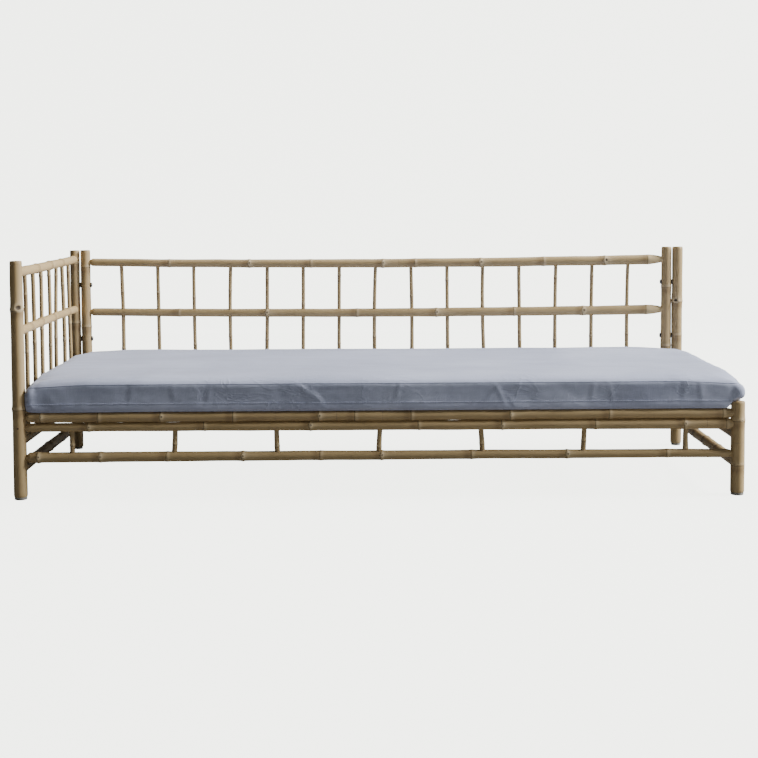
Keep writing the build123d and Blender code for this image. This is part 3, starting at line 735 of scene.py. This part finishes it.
def joinMeshes(name, meshes):
    holders = []
    for mesh in meshes:
        holder = bpy.data.objects.new(name, mesh)
        bpy.context.scene.collection.objects.link(holder)
        holders.append(holder)
    with bpy.context.temp_override(active_object=holders[0], selected_editable_objects=holders):
        bpy.ops.object.join()
    joined = holders[0].data
    bpy.data.objects.remove(holders[0])
    joined.name = name
    return joined


slatLook = {
    "radius": 0.0105, "tip": 0.0052, "tenon": 0.0125, "whittle": 0.016, "bare": 0.5, "wander": 0.0010,
}


def buildSlats():
    look = slatLook
    rng = random.Random(23)
    meshes = []
    for number, (low, high) in enumerate(islands("seat_slats")):
        middle = (low + high) / 2
        start, end = Vector((middle.x, low.y, middle.z)), Vector((middle.x, high.y, middle.z))
        options = {
            **caneBase, "Start Radius": look["radius"],
            "End Radius": look["radius"] * rng.uniform(0.88, 0.98),
            "Seed": 90.0 + number * 3.1, "Tone": rng.uniform(0.25, 0.6), "Sides": 18, "Step": 0.010,
            "Start Tip": look["tip"], "Start Tenon": look["tenon"], "Start Whittle": look["whittle"],
            "End Tip": look["tip"], "End Tenon": look["tenon"], "End Whittle": look["whittle"],
            "Start Bare": look["bare"], "End Bare": look["bare"], "Wander": look["wander"],
            "Bow": Vector((rng.uniform(-0.004, 0.004), 0, -0.001)),
        }
        meshes.append(growCane(f"slat{number}", start, end, thinKnots(rng, 0.3), options))
    place("seat_slats_cane", joinMeshes("seatSlats", meshes), "frame", "slat_cane", "seat_slats")


def buildShortSpindles():
    rng = random.Random(31)
    meshes = []
    for number, (low, high) in enumerate(islands("back_short_spindles")):
        middle = (low + high) / 2
        start, end = Vector((middle.x, middle.y, low.z)), Vector((middle.x, middle.y, high.z))
        options = spindleOptions(spindleLook["shortRadius"], 150.0 + number * 2.3, rng,
                                 Vector((0.001, 0, 0)))
        meshes.append(growCane(f"short{number}", start, end, thinKnots(rng, 0.8), options))
    place("back_short_spindles_cane", joinMeshes("backShortSpindles", meshes), "frame", "thin_cane",
          "back_short_spindles")


buildPosts()
buildRails()
buildSpindles()
buildSlats()
buildShortSpindles()
print("canes grown")


def grainedMaterial(name, colour, worn, roughness, metallic=0.0, scale=120.0, bump=0.0002):
    material, board, shader = newMaterial(name, roughness, metallic=metallic)
    spot = board.add("ShaderNodeTexCoord", {}, {}, "Object")
    fine, broad = board.noise(spot, scale, 4.0, 0.6), board.noise(spot, scale * 0.12, 3.0, 0.5)
    body = board.blend(broad.ramp(0.35, 0.75) * 0.6, colour, worn)
    feed(board, board.blend(fine.ramp(0.5, 0.8) * 0.35, body, worn), shader, "Base Color")
    feed(board, roughness * 0.8 + fine * (roughness * 0.4), shader, "Roughness")
    addBump(board, shader, fine, 0.4, bump)
    return material


# mattress: a foam block in a washed cotton cover

clothLook = {
    "thread": rgb(0.395, 0.432, 0.572),
    "worn": rgb(0.52, 0.562, 0.715),
    "shade": rgb(0.28, 0.30, 0.43),
    "roughness": 0.9,
    "sheen": 0.2,
    "weaveScale": 620.0,
}


def clothMaterial():
    look = clothLook
    material, board, shader = newMaterial("washedCotton", look["roughness"], sheen=look["sheen"])
    shader.inputs["Sheen Roughness"].default_value = 0.5
    spot = board.add("ShaderNodeTexCoord", {}, {}, "Object")

    def stretchedNoise(scales, *settings):
        return board.noise(board.add("ShaderNodeMapping", {}, {"Vector": spot, "Scale": scales}), *settings)

    cloud = board.noise(spot, 2.6, 5.0, 0.55, 0.5)
    wash = stretchedNoise((0.25, 1.0, 0.8), 16.0, 5.0, 0.6, 0.3)
    slub = stretchedNoise((0.05, 1.0, 1.0), 420.0, 3.0, 0.6)
    slubAcross = stretchedNoise((1.0, 0.06, 0.06), 420.0, 3.0, 0.6)
    body = board.blend(cloud.ramp(0.3, 0.75), look["thread"], look["worn"])
    body = board.blend(wash.ramp(0.42, 0.8) * 0.38, body, look["shade"])
    body = board.blend((slub * slubAcross).ramp(0.2, 0.4) * 0.35, body, look["worn"])
    feed(board, body, shader, "Base Color")

    def threads(axis):
        return board.add("ShaderNodeTexWave", {"bands_direction": axis, "wave_profile": "SIN"},
                         {"Vector": spot, "Scale": look["weaveScale"] / 6.28, "Distortion": 0.6,
                          "Detail": 1.0})

    weave = (threads("X") * threads("Y")).high(threads("Z") * 0.7)
    # fine creases: thin lines where a slow pattern crosses its middle, in patches
    fold = (stretchedNoise((0.7, 1.0, 1.0), 11.0, 2.0, 0.5, 1.4) - 0.5).bell(0.028)
    thin = (stretchedNoise((0.35, 1.0, 0.9), 23.0, 2.0, 0.5, 1.0) - 0.5).bell(0.03)
    patches = board.noise(spot, 4.2, 2.0, 0.5).ramp(0.42, 0.66)
    height = weave * 0.12 + slub * 0.12 + slubAcross * 0.12 + wash * 0.45
    height = height + (fold * 0.9 + thin * 0.5) * patches
    addBump(board, shader, height, 0.32, 0.0022)
    return material


mattressLook = {
    # meshes and the air in the cover
    "voxel": 0.0105, "simVoxel": 0.024, "pressure": 2.5, "topCap": 0.010, "sideCap": 0.0045, "frames": 7,
    # the worn shape
    "cornerDroop": 0.008, "cornerReach": 0.20, "edgeRound": 0.003, "crown": 0.003, "fullEdge": 0.024,
    "endReach": 0.05, "sideReach": 0.035, "pullReach": 0.06, "plumpReach": 0.034,
    "fullness": 0.013, "fullCorner": 0.013, "frontCorner": 0.024, "fullTop": 0.026, "topFullness": 0.011,
    # how it rests on the rails and keeps off the posts and the zip
    "settle": 0.014, "railSag": 0.0013, "leftSag": 0.0013, "railFrom": 0.022, "railTo": 0.045,
    "postGap": 0.0013, "restGap": 0.0002, "zipHold": 0.018, "zipMargin": 0.014, "zipProud": 0.003,
    "zipGap": 0.0003, "foamInset": 0.0045,
}
coverLow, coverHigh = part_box("mattress_cover")


def applyModifiers(piece):
    depsgraph = bpy.context.evaluated_depsgraph_get()
    depsgraph.update()
    mesh = bpy.data.meshes.new_from_object(piece.evaluated_get(depsgraph), depsgraph=depsgraph)
    old = piece.data
    piece.modifiers.clear()
    piece.data = mesh
    bpy.data.meshes.remove(old)


def ease(value, low, high):
    share = min(max((value - low) / (high - low), 0.0), 1.0)
    return share * share * (3 - 2 * share)


def startingBlock(name, voxel):
    # the foam's own shape, slightly smaller than the cover, remeshed into even squares
    mesh = bmesh.new()
    mesh.from_mesh(nodes["mattress_core"].data)
    bmesh.ops.remove_doubles(mesh, verts=mesh.verts, dist=0.00002)
    data = bpy.data.meshes.new(name)
    mesh.to_mesh(data)
    mesh.free()
    block = bpy.data.objects.new(name, data)
    bpy.context.scene.collection.objects.link(block)
    squares = block.modifiers.new("squares", "REMESH")
    squares.mode, squares.voxel_size = "VOXEL", voxel
    applyModifiers(block)
    soften(block)
    return block


def soften(block):
    # the worn shape before it swells: drooping corners, a slightly crowned top and full edges
    look = mattressLook
    middle = (coverLow + coverHigh) / 2
    for vertex in block.data.vertices:
        spot = vertex.co
        height = ease(spot.z, coverLow.z, coverHigh.z)
        toEnd = min(spot.x - coverLow.x, coverHigh.x - spot.x)
        toSide = min(spot.y - coverLow.y, coverHigh.y - spot.y)
        corner = (1 - ease(toEnd, 0, look["cornerReach"])) * (1 - ease(toSide, 0, look["cornerReach"]))
        edge = max(1 - ease(toEnd, 0, look["endReach"]), 1 - ease(toSide, 0, look["sideReach"]))
        crown = ease(toEnd, 0, 0.5) * ease(toSide, 0, 0.4)
        worn = look["crown"] * crown - look["cornerDroop"] * corner - look["edgeRound"] * edge * 0.5
        spot.z += height * worn
        pullIn = look["edgeRound"] * height * ease(spot.z, middle.z, coverHigh.z)
        low = max(1 - (spot.z - coverLow.z) / look["fullEdge"], 0.0)
        fullX = look["fullness"] * low * max(1 - toEnd / look["fullEdge"], 0.0)
        fullY = look["fullness"] * low * max(1 - toSide / look["fullEdge"], 0.0)
        plump = look["frontCorner" if spot.y < middle.y else "fullCorner"]
        plump *= max(1 - toEnd / look["plumpReach"], 0.0) * max(1 - toSide / look["plumpReach"], 0.0)
        outX = fullX + plump - pullIn * (1 - ease(toEnd, 0, look["pullReach"]))
        outY = fullY + plump - pullIn * (1 - ease(toSide, 0, look["pullReach"]))
        spot.x += math.copysign(outX, spot.x - middle.x)
        spot.y += math.copysign(outY, spot.y - middle.y)
        spot.z -= max(fullX, fullY)
        high = look["topFullness"] * max(1 - (coverHigh.z - spot.z) / look["fullTop"], 0.0)
        topX = high * max(1 - toEnd / look["fullTop"], 0.0)
        topY = high * max(1 - toSide / look["fullTop"], 0.0)
        outward = (math.copysign(topX, spot.x - middle.x), math.copysign(topY, spot.y - middle.y))
        spot += Vector((*outward, max(topX, topY)))


def swelling():
    # air pressure in the cover: how far each point moves, held in, with the shape it started from
    look = mattressLook
    block = startingBlock("mattressAir", look["simVoxel"])
    faces = [tuple(polygon.vertices) for polygon in block.data.polygons]
    rest = [v.co.copy() for v in block.data.vertices]
    normals = [v.normal.copy() for v in block.data.vertices]
    cloth = block.modifiers.new("cloth", "CLOTH")
    settings = cloth.settings
    settings.quality, settings.mass = 4, 0.3
    settings.tension_stiffness = settings.compression_stiffness = 25
    settings.shear_stiffness, settings.bending_stiffness = 5, 0.5
    settings.use_pressure, settings.uniform_pressure_force = True, look["pressure"]
    settings.effector_weights.gravity = 0
    scene = bpy.context.scene
    scene.frame_start, scene.frame_end = 1, look["frames"]
    for number in range(1, look["frames"] + 1):
        scene.frame_set(number)
    applyModifiers(block)
    scene.frame_set(1)
    moves = []
    for vertex, was, normal in zip(block.data.vertices, rest, normals):
        moved = vertex.co - was
        most = look["topCap"] if normal.z > 0.5 else look["sideCap"]
        moves.append(moved * min(1.0, most / max(moved.length, 1e-6)))
    bpy.data.objects.remove(block)
    return BVHTree.FromPolygons(rest, faces), faces, rest, moves


def swell(block):
    tree, faces, rest, moves = swelling()
    for vertex in block.data.vertices:
        _, _, index, _ = tree.find_nearest(vertex.co)
        total, moved = 0.0, Vector((0, 0, 0))
        for corner in faces[index]:
            share = 1 / ((rest[corner] - vertex.co).length_squared + 0.00002)
            total, moved = total + share, moved + moves[corner] * share
        vertex.co += moved / total


# creases pressed into the cover: where, along which direction, how long, how wide and how deep
creaseShare = 0.6
creases = (
    ((-0.20, -0.424, 0.318), (0.8, 0, -0.6), 0.085, 0.0075, 0.0030),
    ((-0.17, -0.424, 0.300), (0.6, 0, -0.8), 0.060, 0.0060, 0.0026),
    ((-0.12, -0.424, 0.312), (1.0, 0, 0.05), 0.110, 0.0080, 0.0020),
    ((0.045, -0.424, 0.312), (0.25, 0, 1.0), 0.055, 0.0060, 0.0026),
    ((0.10, -0.424, 0.288), (1.0, 0, 0.12), 0.100, 0.0080, 0.0018),
    ((0.31, -0.424, 0.300), (0.7, 0, 0.7), 0.075, 0.0065, 0.0024),
    ((0.355, -0.424, 0.300), (0.45, 0, -0.9), 0.080, 0.0060, 0.0030),
    ((0.375, -0.424, 0.296), (0.75, 0, -0.65), 0.060, 0.0060, 0.0024),
    ((0.60, -0.424, 0.305), (0.1, 0, 1.0), 0.050, 0.0065, 0.0024),
    ((0.655, -0.424, 0.296), (-0.3, 0, 1.0), 0.055, 0.0055, 0.0028),
    ((-0.50, -0.424, 0.300), (0.15, 0, 1.0), 0.060, 0.0080, 0.0020),
    ((-0.60, -0.424, 0.305), (-0.1, 0, 1.0), 0.055, 0.0080, 0.0018),
    ((-0.72, -0.424, 0.310), (0.2, 0, 1.0), 0.060, 0.0085, 0.0018),
    ((0.86, -0.424, 0.305), (0.1, 0, 1.0), 0.060, 0.0080, 0.0020),
    ((0.91, -0.424, 0.300), (-0.15, 0, 1.0), 0.055, 0.0070, 0.0020),
    ((-0.62, 0.10, 0.350), (1.0, -0.02, 0), 0.330, 0.0100, 0.0020),
    ((-0.30, 0.06, 0.350), (1.0, 0.03, 0), 0.200, 0.0090, 0.0012),
    ((0.20, 0.02, 0.350), (1.0, 0.02, 0), 0.380, 0.0120, 0.0012),
    ((0.62, 0.16, 0.350), (1.0, -0.03, 0), 0.300, 0.0110, 0.0014),
    ((0.48, -0.14, 0.350), (1.0, 0.02, 0), 0.160, 0.0090, 0.0014),
    ((-0.85, -0.10, 0.345), (1.0, 0.25, 0), 0.200, 0.0120, 0.0018),
)


def crumple(block):
    # soft wrinkles that run along the bed, small crumples on the front, and the single creases
    lows = []
    for at, way, long, wide, deep in creases:
        lows.append((Vector(at), Vector(way).normalized(), long, wide, deep))
    facings = [vertex.normal.copy() for vertex in block.data.vertices]
    for vertex, facing in zip(block.data.vertices, facings):
        spot = vertex.co.copy()
        top = max(facing.z, 0.0)
        side = 1 - abs(facing.z)
        ripple = noise.noise(Vector((spot.x * 3.2, spot.y * 19, 4.0))) * 0.0017 * top
        ripple += noise.noise(Vector((spot.x * 9, spot.y * 55, 9.0))) * 0.0006 * top
        patch = max(noise.noise(Vector((spot.x * 2.6, spot.y * 2.6, 2.0))) + 0.25, 0.0)
        ripple += noise.noise(Vector((spot.x * 9 + spot.z * 9, spot.y * 9, spot.z * 15))) * 0.0024 * side
        crumples = noise.noise(Vector((spot.x * 34, spot.y * 34, spot.z * 40 + 5)))
        ripple += crumples * 0.0011 * side * (0.4 + patch)
        for at, way, long, wide, deep in lows:
            gap = spot - at
            if abs(gap.x) > long or gap.length > long * 1.2:
                continue
            down = gap.dot(way)
            across = math.sqrt(max(gap.length_squared - down * down, 0.0))
            sideways = way.cross(facing).dot(gap)
            fold = math.exp(-(across / wide) ** 2) - 0.75 * math.exp(-((sideways - wide * 1.5) / wide) ** 2)
            ripple -= creaseShare * deep * fold * math.exp(-(down / (long * 0.5)) ** 2)
        vertex.co = spot + facing * ripple


def keepClear(block):
    # out of the posts, level on the slats, sagging a little over the front rail, and flat under the zip
    look = mattressLook
    posts = []
    for node in ("front_left_post", "front_right_post"):
        low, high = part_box(node)
        posts.append(((low.x + high.x) / 2, (low.y + high.y) / 2, (high.x - low.x) / 2, high.z))
    zipLow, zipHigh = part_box("zip_chain")
    zipMiddle, zipHalf = (zipLow + zipHigh) / 2, (zipHigh - zipLow) / 2
    for vertex in block.data.vertices:
        spot = vertex.co
        above = max(spot.z - coverLow.z, look["restGap"])
        if above < look["settle"]:
            above = max(above * above / look["settle"], look["restGap"])
        spot.z = coverLow.z + above
        overRail = 1 - ease(spot.y, coverLow.y + look["railFrom"], coverLow.y + look["railTo"])
        atLeft = 1 - ease(spot.x, coverLow.x + 0.1, coverLow.x + 0.4)
        sag = look["railSag"] + look["leftSag"] * atLeft
        spot.z -= sag * overRail * (1 - ease(spot.z, coverLow.z, coverLow.z + 0.02))
        for x, y, radius, top in posts:
            gap = math.hypot(spot.x - x, spot.y - y)
            clear = radius + look["postGap"]
            if gap < clear and spot.z < top + look["postGap"]:
                climb = top + look["postGap"] - spot.z
                if climb < clear - gap:
                    spot.z += climb
                else:
                    spot.x, spot.y = x + (spot.x - x) * clear / gap, y + (spot.y - y) * clear / gap
        if spot.x > zipLow.x - look["zipMargin"]:
            held = 1 - ease(abs(spot.z - zipMiddle.z), zipHalf.z, zipHalf.z + look["zipHold"])
            held *= 1 - ease(abs(spot.y - zipMiddle.y), zipHalf.y, zipHalf.y + look["zipHold"])
            spot.x += (zipLow.x - look["zipGap"] - spot.x) * held
            spot.x = min(spot.x, zipLow.x + look["zipProud"])


cloth = clothMaterial()


def finishSoft(block, material, replaced):
    block.data.materials.clear()
    block.data.materials.append(material)
    for polygon in block.data.polygons:
        polygon.use_smooth = True
    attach(block, "mattress")
    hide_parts(replaced)


def buildMattress():
    block = startingBlock("mattress_cover_cloth", mattressLook["voxel"])
    swell(block)
    foam = bpy.data.objects.new("mattress_foam", block.data.copy())
    bpy.context.scene.collection.objects.link(foam)
    keepClear(foam)
    normals = [vertex.normal.copy() for vertex in foam.data.vertices]
    for vertex, normal in zip(foam.data.vertices, normals):
        vertex.co -= normal * mattressLook["foamInset"]
    smooth = block.modifiers.new("fine", "SUBSURF")
    smooth.levels = smooth.render_levels = 1
    applyModifiers(block)
    crumple(block)
    keepClear(block)
    finishSoft(block, cloth, "mattress_cover")
    foamFinish = grainedMaterial("foamBlock", rgb(0.78, 0.74, 0.60), rgb(0.70, 0.65, 0.50), 0.95,
                                 scale=700.0)
    finishSoft(foam, foamFinish, "mattress_core")
    return block


mattress = buildMattress()
print("mattress made,", len(mattress.data.polygons), "faces")


# seams round the cover, and the teeth of its zip

def seamTree():
    # a line of points becomes a folded edge with stitches along it
    tree, board, given = openTree("stitchedSeam", (
        ("Line", "Geometry"), ("Fold", "Float"), ("Stitch", "Float"), ("Thread", "Float"),
        ("Cloth", "Material"), ("Yarn", "Material"),
    ), "Seam")
    path = board.add("GeometryNodeMeshToCurve", {}, {0: given["Line"]})
    circle = board.add("GeometryNodeCurvePrimitiveCircle", {}, {"Resolution": 6, "Radius": given["Fold"]})
    fold = board.add("GeometryNodeCurveToMesh", {}, {"Curve": path, "Profile Curve": circle})
    fold = board.add("GeometryNodeSetMaterial", {}, {"Geometry": fold, "Material": given["Cloth"]})
    spots = board.add("GeometryNodeCurveToPoints", {"mode": "LENGTH"},
                      {"Curve": path, "Length": given["Stitch"]})
    yarn = board.add("GeometryNodeMeshCylinder", {},
                     {"Vertices": 6, "Radius": given["Thread"],
                      "Depth": given["Stitch"] * seamLook["threadShare"]})
    turned = board.add("FunctionNodeAlignRotationToVector", {"axis": "Z"},
                       {"Vector": board.twin(spots, "Tangent")})
    rows = board.add("GeometryNodeInstanceOnPoints", {},
                     {"Points": spots, "Instance": yarn, "Rotation": turned})
    lowered = board.add("GeometryNodeTranslateInstances", {},
                        {"Instances": rows, "Translation": (0.0, 0.0, -seamLook["stitchDrop"]),
                         "Local Space": False})
    yarns = board.add("GeometryNodeSetMaterial", {}, {"Geometry": lowered, "Material": given["Yarn"]})
    both = board.add("GeometryNodeJoinGeometry", {}, {0: fold})
    tree.links.new(yarns.socket, both.socket.node.inputs[0])
    solid = board.add("GeometryNodeRealizeInstances", {}, {"Geometry": both})
    return closeTree(tree, solid)


def runTree(name, tree, mesh, values):
    # one evaluation of a tree on a mesh, given back as a plain mesh
    identifier = {item.name: item.identifier for item in tree.interface.items_tree if item.in_out == "INPUT"}
    source = bpy.data.objects.new(name, mesh)
    bpy.context.scene.collection.objects.link(source)
    maker = source.modifiers.new("maker", "NODES")
    maker.node_group = tree
    for key, value in values.items():
        maker[identifier[key]] = value
    depsgraph = bpy.context.evaluated_depsgraph_get()
    made = bpy.data.meshes.new_from_object(source.evaluated_get(depsgraph), depsgraph=depsgraph)
    made.name = name
    bpy.data.objects.remove(source)
    return made


seamLook = {
    "heights": (coverLow.z + 0.0235, coverHigh.z - 0.0105), "step": 0.008, "fold": 0.0011,
    "stitch": 0.0052, "thread": 0.00042, "outside": 0.05, "corner": 0.09, "cornerSteps": 12,
    "threadShare": 0.62, "stitchDrop": 0.0035,  # of each stitch that is thread, and how far below the fold
}


def seamLine(tree, height):
    # where a walk round the mattress, looking inwards, meets the cover
    look = seamLook
    outside = Vector((1, 1, 0)) * look["outside"]
    low, high = coverLow - outside, coverHigh + outside
    radius, points = look["corner"], []
    centres = ((high.x - radius, low.y + radius, -90), (high.x - radius, high.y - radius, 0),
               (low.x + radius, high.y - radius, 90), (low.x + radius, low.y + radius, 180))
    walk = []
    for i, (x, y, turn) in enumerate(centres):
        for step in range(look["cornerSteps"] + 1):
            angle = math.radians(turn + 90 * step / look["cornerSteps"])
            out = Vector((math.cos(angle), math.sin(angle), 0))
            walk.append((Vector((x, y, height)) + out * radius, out))
        nextX, nextY, _ = centres[(i + 1) % 4]
        first = Vector((x, y, height)) + out * radius
        last = Vector((nextX, nextY, height)) + out * radius
        count = int((last - first).length / look["step"])
        walk += [(first.lerp(last, k / count), out) for k in range(1, count)]
    droop = ease(height, coverLow.z, coverHigh.z) * mattressLook["cornerDroop"]
    reach = mattressLook["cornerReach"]
    for spot, out in walk:
        toEnd = min(spot.x - coverLow.x, coverHigh.x - spot.x)
        toSide = min(spot.y - coverLow.y, coverHigh.y - spot.y)
        spot.z -= droop * (1 - ease(toEnd, 0, reach)) * (1 - ease(toSide, 0, reach))
        hit, normal, _, _ = tree.ray_cast(spot, -out, 0.3)
        if hit:
            points.append(hit + normal * 0.0002)
    mesh = bpy.data.meshes.new("seamLine")
    mesh.from_pydata(points, [(i, (i + 1) % len(points)) for i in range(len(points))], [])
    return mesh


def buildSeams():
    tree = BVHTree.FromPolygons([v.co for v in mattress.data.vertices],
                                [tuple(polygon.vertices) for polygon in mattress.data.polygons])
    yarn = grainedMaterial("seamYarn", rgb(0.46, 0.49, 0.62), rgb(0.56, 0.59, 0.72), 0.85, 0.0, 2600.0)
    stitched = seamTree()
    meshes = []
    for height in seamLook["heights"]:
        values = {"Fold": seamLook["fold"], "Stitch": seamLook["stitch"], "Thread": seamLook["thread"],
                  "Cloth": cloth, "Yarn": yarn}
        line = seamLine(tree, height)
        meshes.append(runTree("coverSeam", stitched, line, values))
    place("mattress_seams", joinMeshes("coverSeams", meshes), "mattress", "cover_fabric")


def teethTree():
    # a row of small teeth between two places
    tree, board, given = openTree("zipTeeth", (
        ("Blank", "Geometry"), ("Start", "Vector"), ("Pitch", "Float"), ("Count", "Int"),
        ("Tooth", "Vector"), ("Finish", "Material"),
    ), "Teeth")
    step = board.add("ShaderNodeCombineXYZ", {}, {"Y": given["Pitch"]})
    line = board.add("GeometryNodeMeshLine", {"mode": "OFFSET"},
                     {"Count": given["Count"], "Start Location": given["Start"], "Offset": step})
    tooth = board.add("GeometryNodeMeshCube", {}, {"Size": given["Tooth"]})
    odd = board.add("GeometryNodeInputIndex").math("MODULO", 2.0)
    shift = board.add("ShaderNodeCombineXYZ", {}, {"Z": (odd - 0.5) * teethLook["stagger"]})
    placed = board.add("GeometryNodeSetPosition", {}, {"Geometry": line, "Offset": shift})
    row = board.add("GeometryNodeInstanceOnPoints", {}, {"Points": placed, "Instance": tooth})
    solid = board.add("GeometryNodeRealizeInstances", {}, {"Geometry": row})
    finished = board.add("GeometryNodeSetMaterial", {}, {"Geometry": solid, "Material": given["Finish"]})
    return closeTree(tree, finished)


teethLook = {"pitch": 0.0013, "tooth": (0.0006, 0.0008, 0.0038), "endGap": 0.005, "stagger": 0.0012}


def buildTeeth():
    look = teethLook
    low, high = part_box("zip_chain")
    tooth = Vector(look["tooth"])
    start = Vector((high.x, low.y + look["endGap"], (low.z + high.z) / 2))
    count = int((high.y - low.y - 2 * look["endGap"]) / look["pitch"])
    metal = grainedMaterial("toothMetal", rgb(0.42, 0.42, 0.43), rgb(0.60, 0.60, 0.60), 0.3, 1.0, 2600.0)
    values = {"Start": start, "Pitch": look["pitch"], "Count": count, "Tooth": tooth, "Finish": metal}
    mesh = runTree("zipTeeth", teethTree(), bpy.data.meshes.new("toothBlank"), values)
    place("zip_teeth", mesh, "mattress", "zip_metal")


buildSeams()
buildTeeth()
print("seams and zip teeth made")


# metal, plastic and other small parts

def finishNode(node, material):
    data = nodes[node].data
    data.materials.clear()
    data.materials.append(material)


smallParts = {
    "foot_glides": ("gliderPlastic", rgb(0.30, 0.29, 0.26), rgb(0.42, 0.41, 0.37), 0.55, 0.0, 900.0),
    "panel_bolts": ("blackenedSteel", rgb(0.10, 0.095, 0.09), rgb(0.20, 0.19, 0.18), 0.38, 0.9, 1500.0),
    "panel_inserts": ("insertBrass", rgb(0.55, 0.40, 0.16), rgb(0.42, 0.30, 0.12), 0.35, 1.0, 1500.0),
    "tenon_pegs": ("pegWood", rgb(0.14, 0.085, 0.045), rgb(0.24, 0.16, 0.09), 0.7, 0.0, 700.0),
    "zip_chain": ("zipTape", rgb(0.22, 0.235, 0.30), rgb(0.30, 0.315, 0.38), 0.8, 0.0, 2500.0),
    "zip_slider": ("zipMetal", rgb(0.32, 0.32, 0.33), rgb(0.45, 0.45, 0.46), 0.3, 1.0, 2200.0),
}
for node, values in smallParts.items():
    finishNode(node, grainedMaterial(*values))
finishNode("zip_pull", bpy.data.materials["zipMetal"])
print("small parts finished")


# stage, light and camera

stageLook = {"reach": 60.0, "wall": 10.0, "backFoot": 4.5, "bend": 2.5, "steps": 12}


def buildStage():
    look = stageLook
    reach, wall, foot, bend = look["reach"], look["wall"], look["backFoot"], look["bend"]
    mesh = bmesh.new()
    profile = [(-reach, wall), (-reach, 0.0), (foot, 0.0)]
    for step in range(1, look["steps"] + 1):
        turn = math.pi / 2 * step / look["steps"]
        profile.append((foot + bend * math.sin(turn), bend - bend * math.cos(turn)))
    profile.append((foot + bend, wall))
    columns = [[mesh.verts.new((x, y, z)) for y, z in profile] for x in (-reach, reach)]
    for column in columns:
        mesh.faces.new((column[0], column[1], column[2], column[-1]))
    for i in range(len(profile) - 1):
        mesh.faces.new((columns[0][i], columns[1][i], columns[1][i + 1], columns[0][i + 1]))
    data = bpy.data.meshes.new("studioSweep")
    mesh.to_mesh(data)
    mesh.free()
    for polygon in data.polygons:
        polygon.use_smooth = abs(polygon.normal.y * polygon.normal.z) > 0.001  # only the bend
    sweep = bpy.data.objects.new("studio_sweep", data)
    bpy.context.scene.collection.objects.link(sweep)
    data.materials.append(sweepMaterial())


sweepLook = {"floor": rgb(0.19, 0.19, 0.186), "glow": rgb(0.935, 0.955, 0.885), "strength": 4.6}


def sweepMaterial():
    # a dull floor for the light that it throws back, and an even pale one to look at
    material, board, shader = newMaterial("paleSweep", 0.95)
    shader.inputs["Base Color"].default_value = sweepLook["floor"]
    seen = board.add("ShaderNodeLightPath", {}, {}, "Is Camera Ray")
    pale = board.add("ShaderNodeEmission", {}, {"Color": sweepLook["glow"],
                                                "Strength": sweepLook["strength"]})
    both = board.add("ShaderNodeAddShader", {}, {0: pale})
    board.tree.links.new(shader.outputs[0], both.socket.node.inputs[1])
    mixed = board.add("ShaderNodeMixShader", {}, {0: seen, 2: both})
    board.tree.links.new(shader.outputs[0], mixed.socket.node.inputs[1])
    board.tree.links.new(mixed.socket, material.node_tree.nodes["Material Output"].inputs["Surface"])
    return material


lightLook = {
    "key": {"at": (9.0, -0.5, 6.0), "to": (0.0, 0.0, 0.4), "size": (3.0, 3.0), "power": 2500.0},
    "top": {"at": (0.0, 1.3, 4.0), "to": (0.0, 0.1, 0.3), "size": (4.0, 2.0), "power": 90.0},
    "fill": {"at": (3.2, -5.0, 1.3), "to": (0.3, 0.0, 0.3), "size": (2.6, 2.0), "power": 22.0},
}
worldStrength = 0.055


def buildLights():
    for name, look in lightLook.items():
        data = bpy.data.lights.new(name, "AREA")
        data.shape = "RECTANGLE"
        data.size, data.size_y = look["size"]
        data.energy = look["power"]
        lamp = bpy.data.objects.new(name, data)
        bpy.context.scene.collection.objects.link(lamp)
        lamp.location = look["at"]
        lamp.rotation_euler = (Vector(look["to"]) - Vector(look["at"])).to_track_quat("-Z", "Y").to_euler()
    world = bpy.data.worlds.new("studio")
    world.use_nodes = True
    shade = world.node_tree.nodes["Background"]
    shade.inputs["Color"].default_value = rgb(0.98, 0.99, 1.0)
    shade.inputs["Strength"].default_value = worldStrength
    bpy.context.scene.world = world


cameraLook = {
    "at": (-0.0316, -4.4174, 0.8661), "yaw": -0.463, "pitch": 4.0, "roll": -0.299,
    "lens": 67.07, "shift": -0.1123,
}


def buildCamera():
    data = bpy.data.cameras.new("camera")
    data.sensor_width, data.lens, data.shift_y = 36.0, cameraLook["lens"], cameraLook["shift"]
    camera = bpy.data.objects.new("camera", data)
    bpy.context.scene.collection.objects.link(camera)
    turn = (
        Matrix.Rotation(math.radians(cameraLook["yaw"]), 4, "Z")
        @ Matrix.Rotation(math.radians(90 - cameraLook["pitch"]), 4, "X")
        @ Matrix.Rotation(math.radians(cameraLook["roll"]), 4, "Z")
    )
    camera.matrix_world = Matrix.Translation(cameraLook["at"]) @ turn
    bpy.context.scene.camera = camera


buildStage()
buildLights()
buildCamera()

print("scene made")
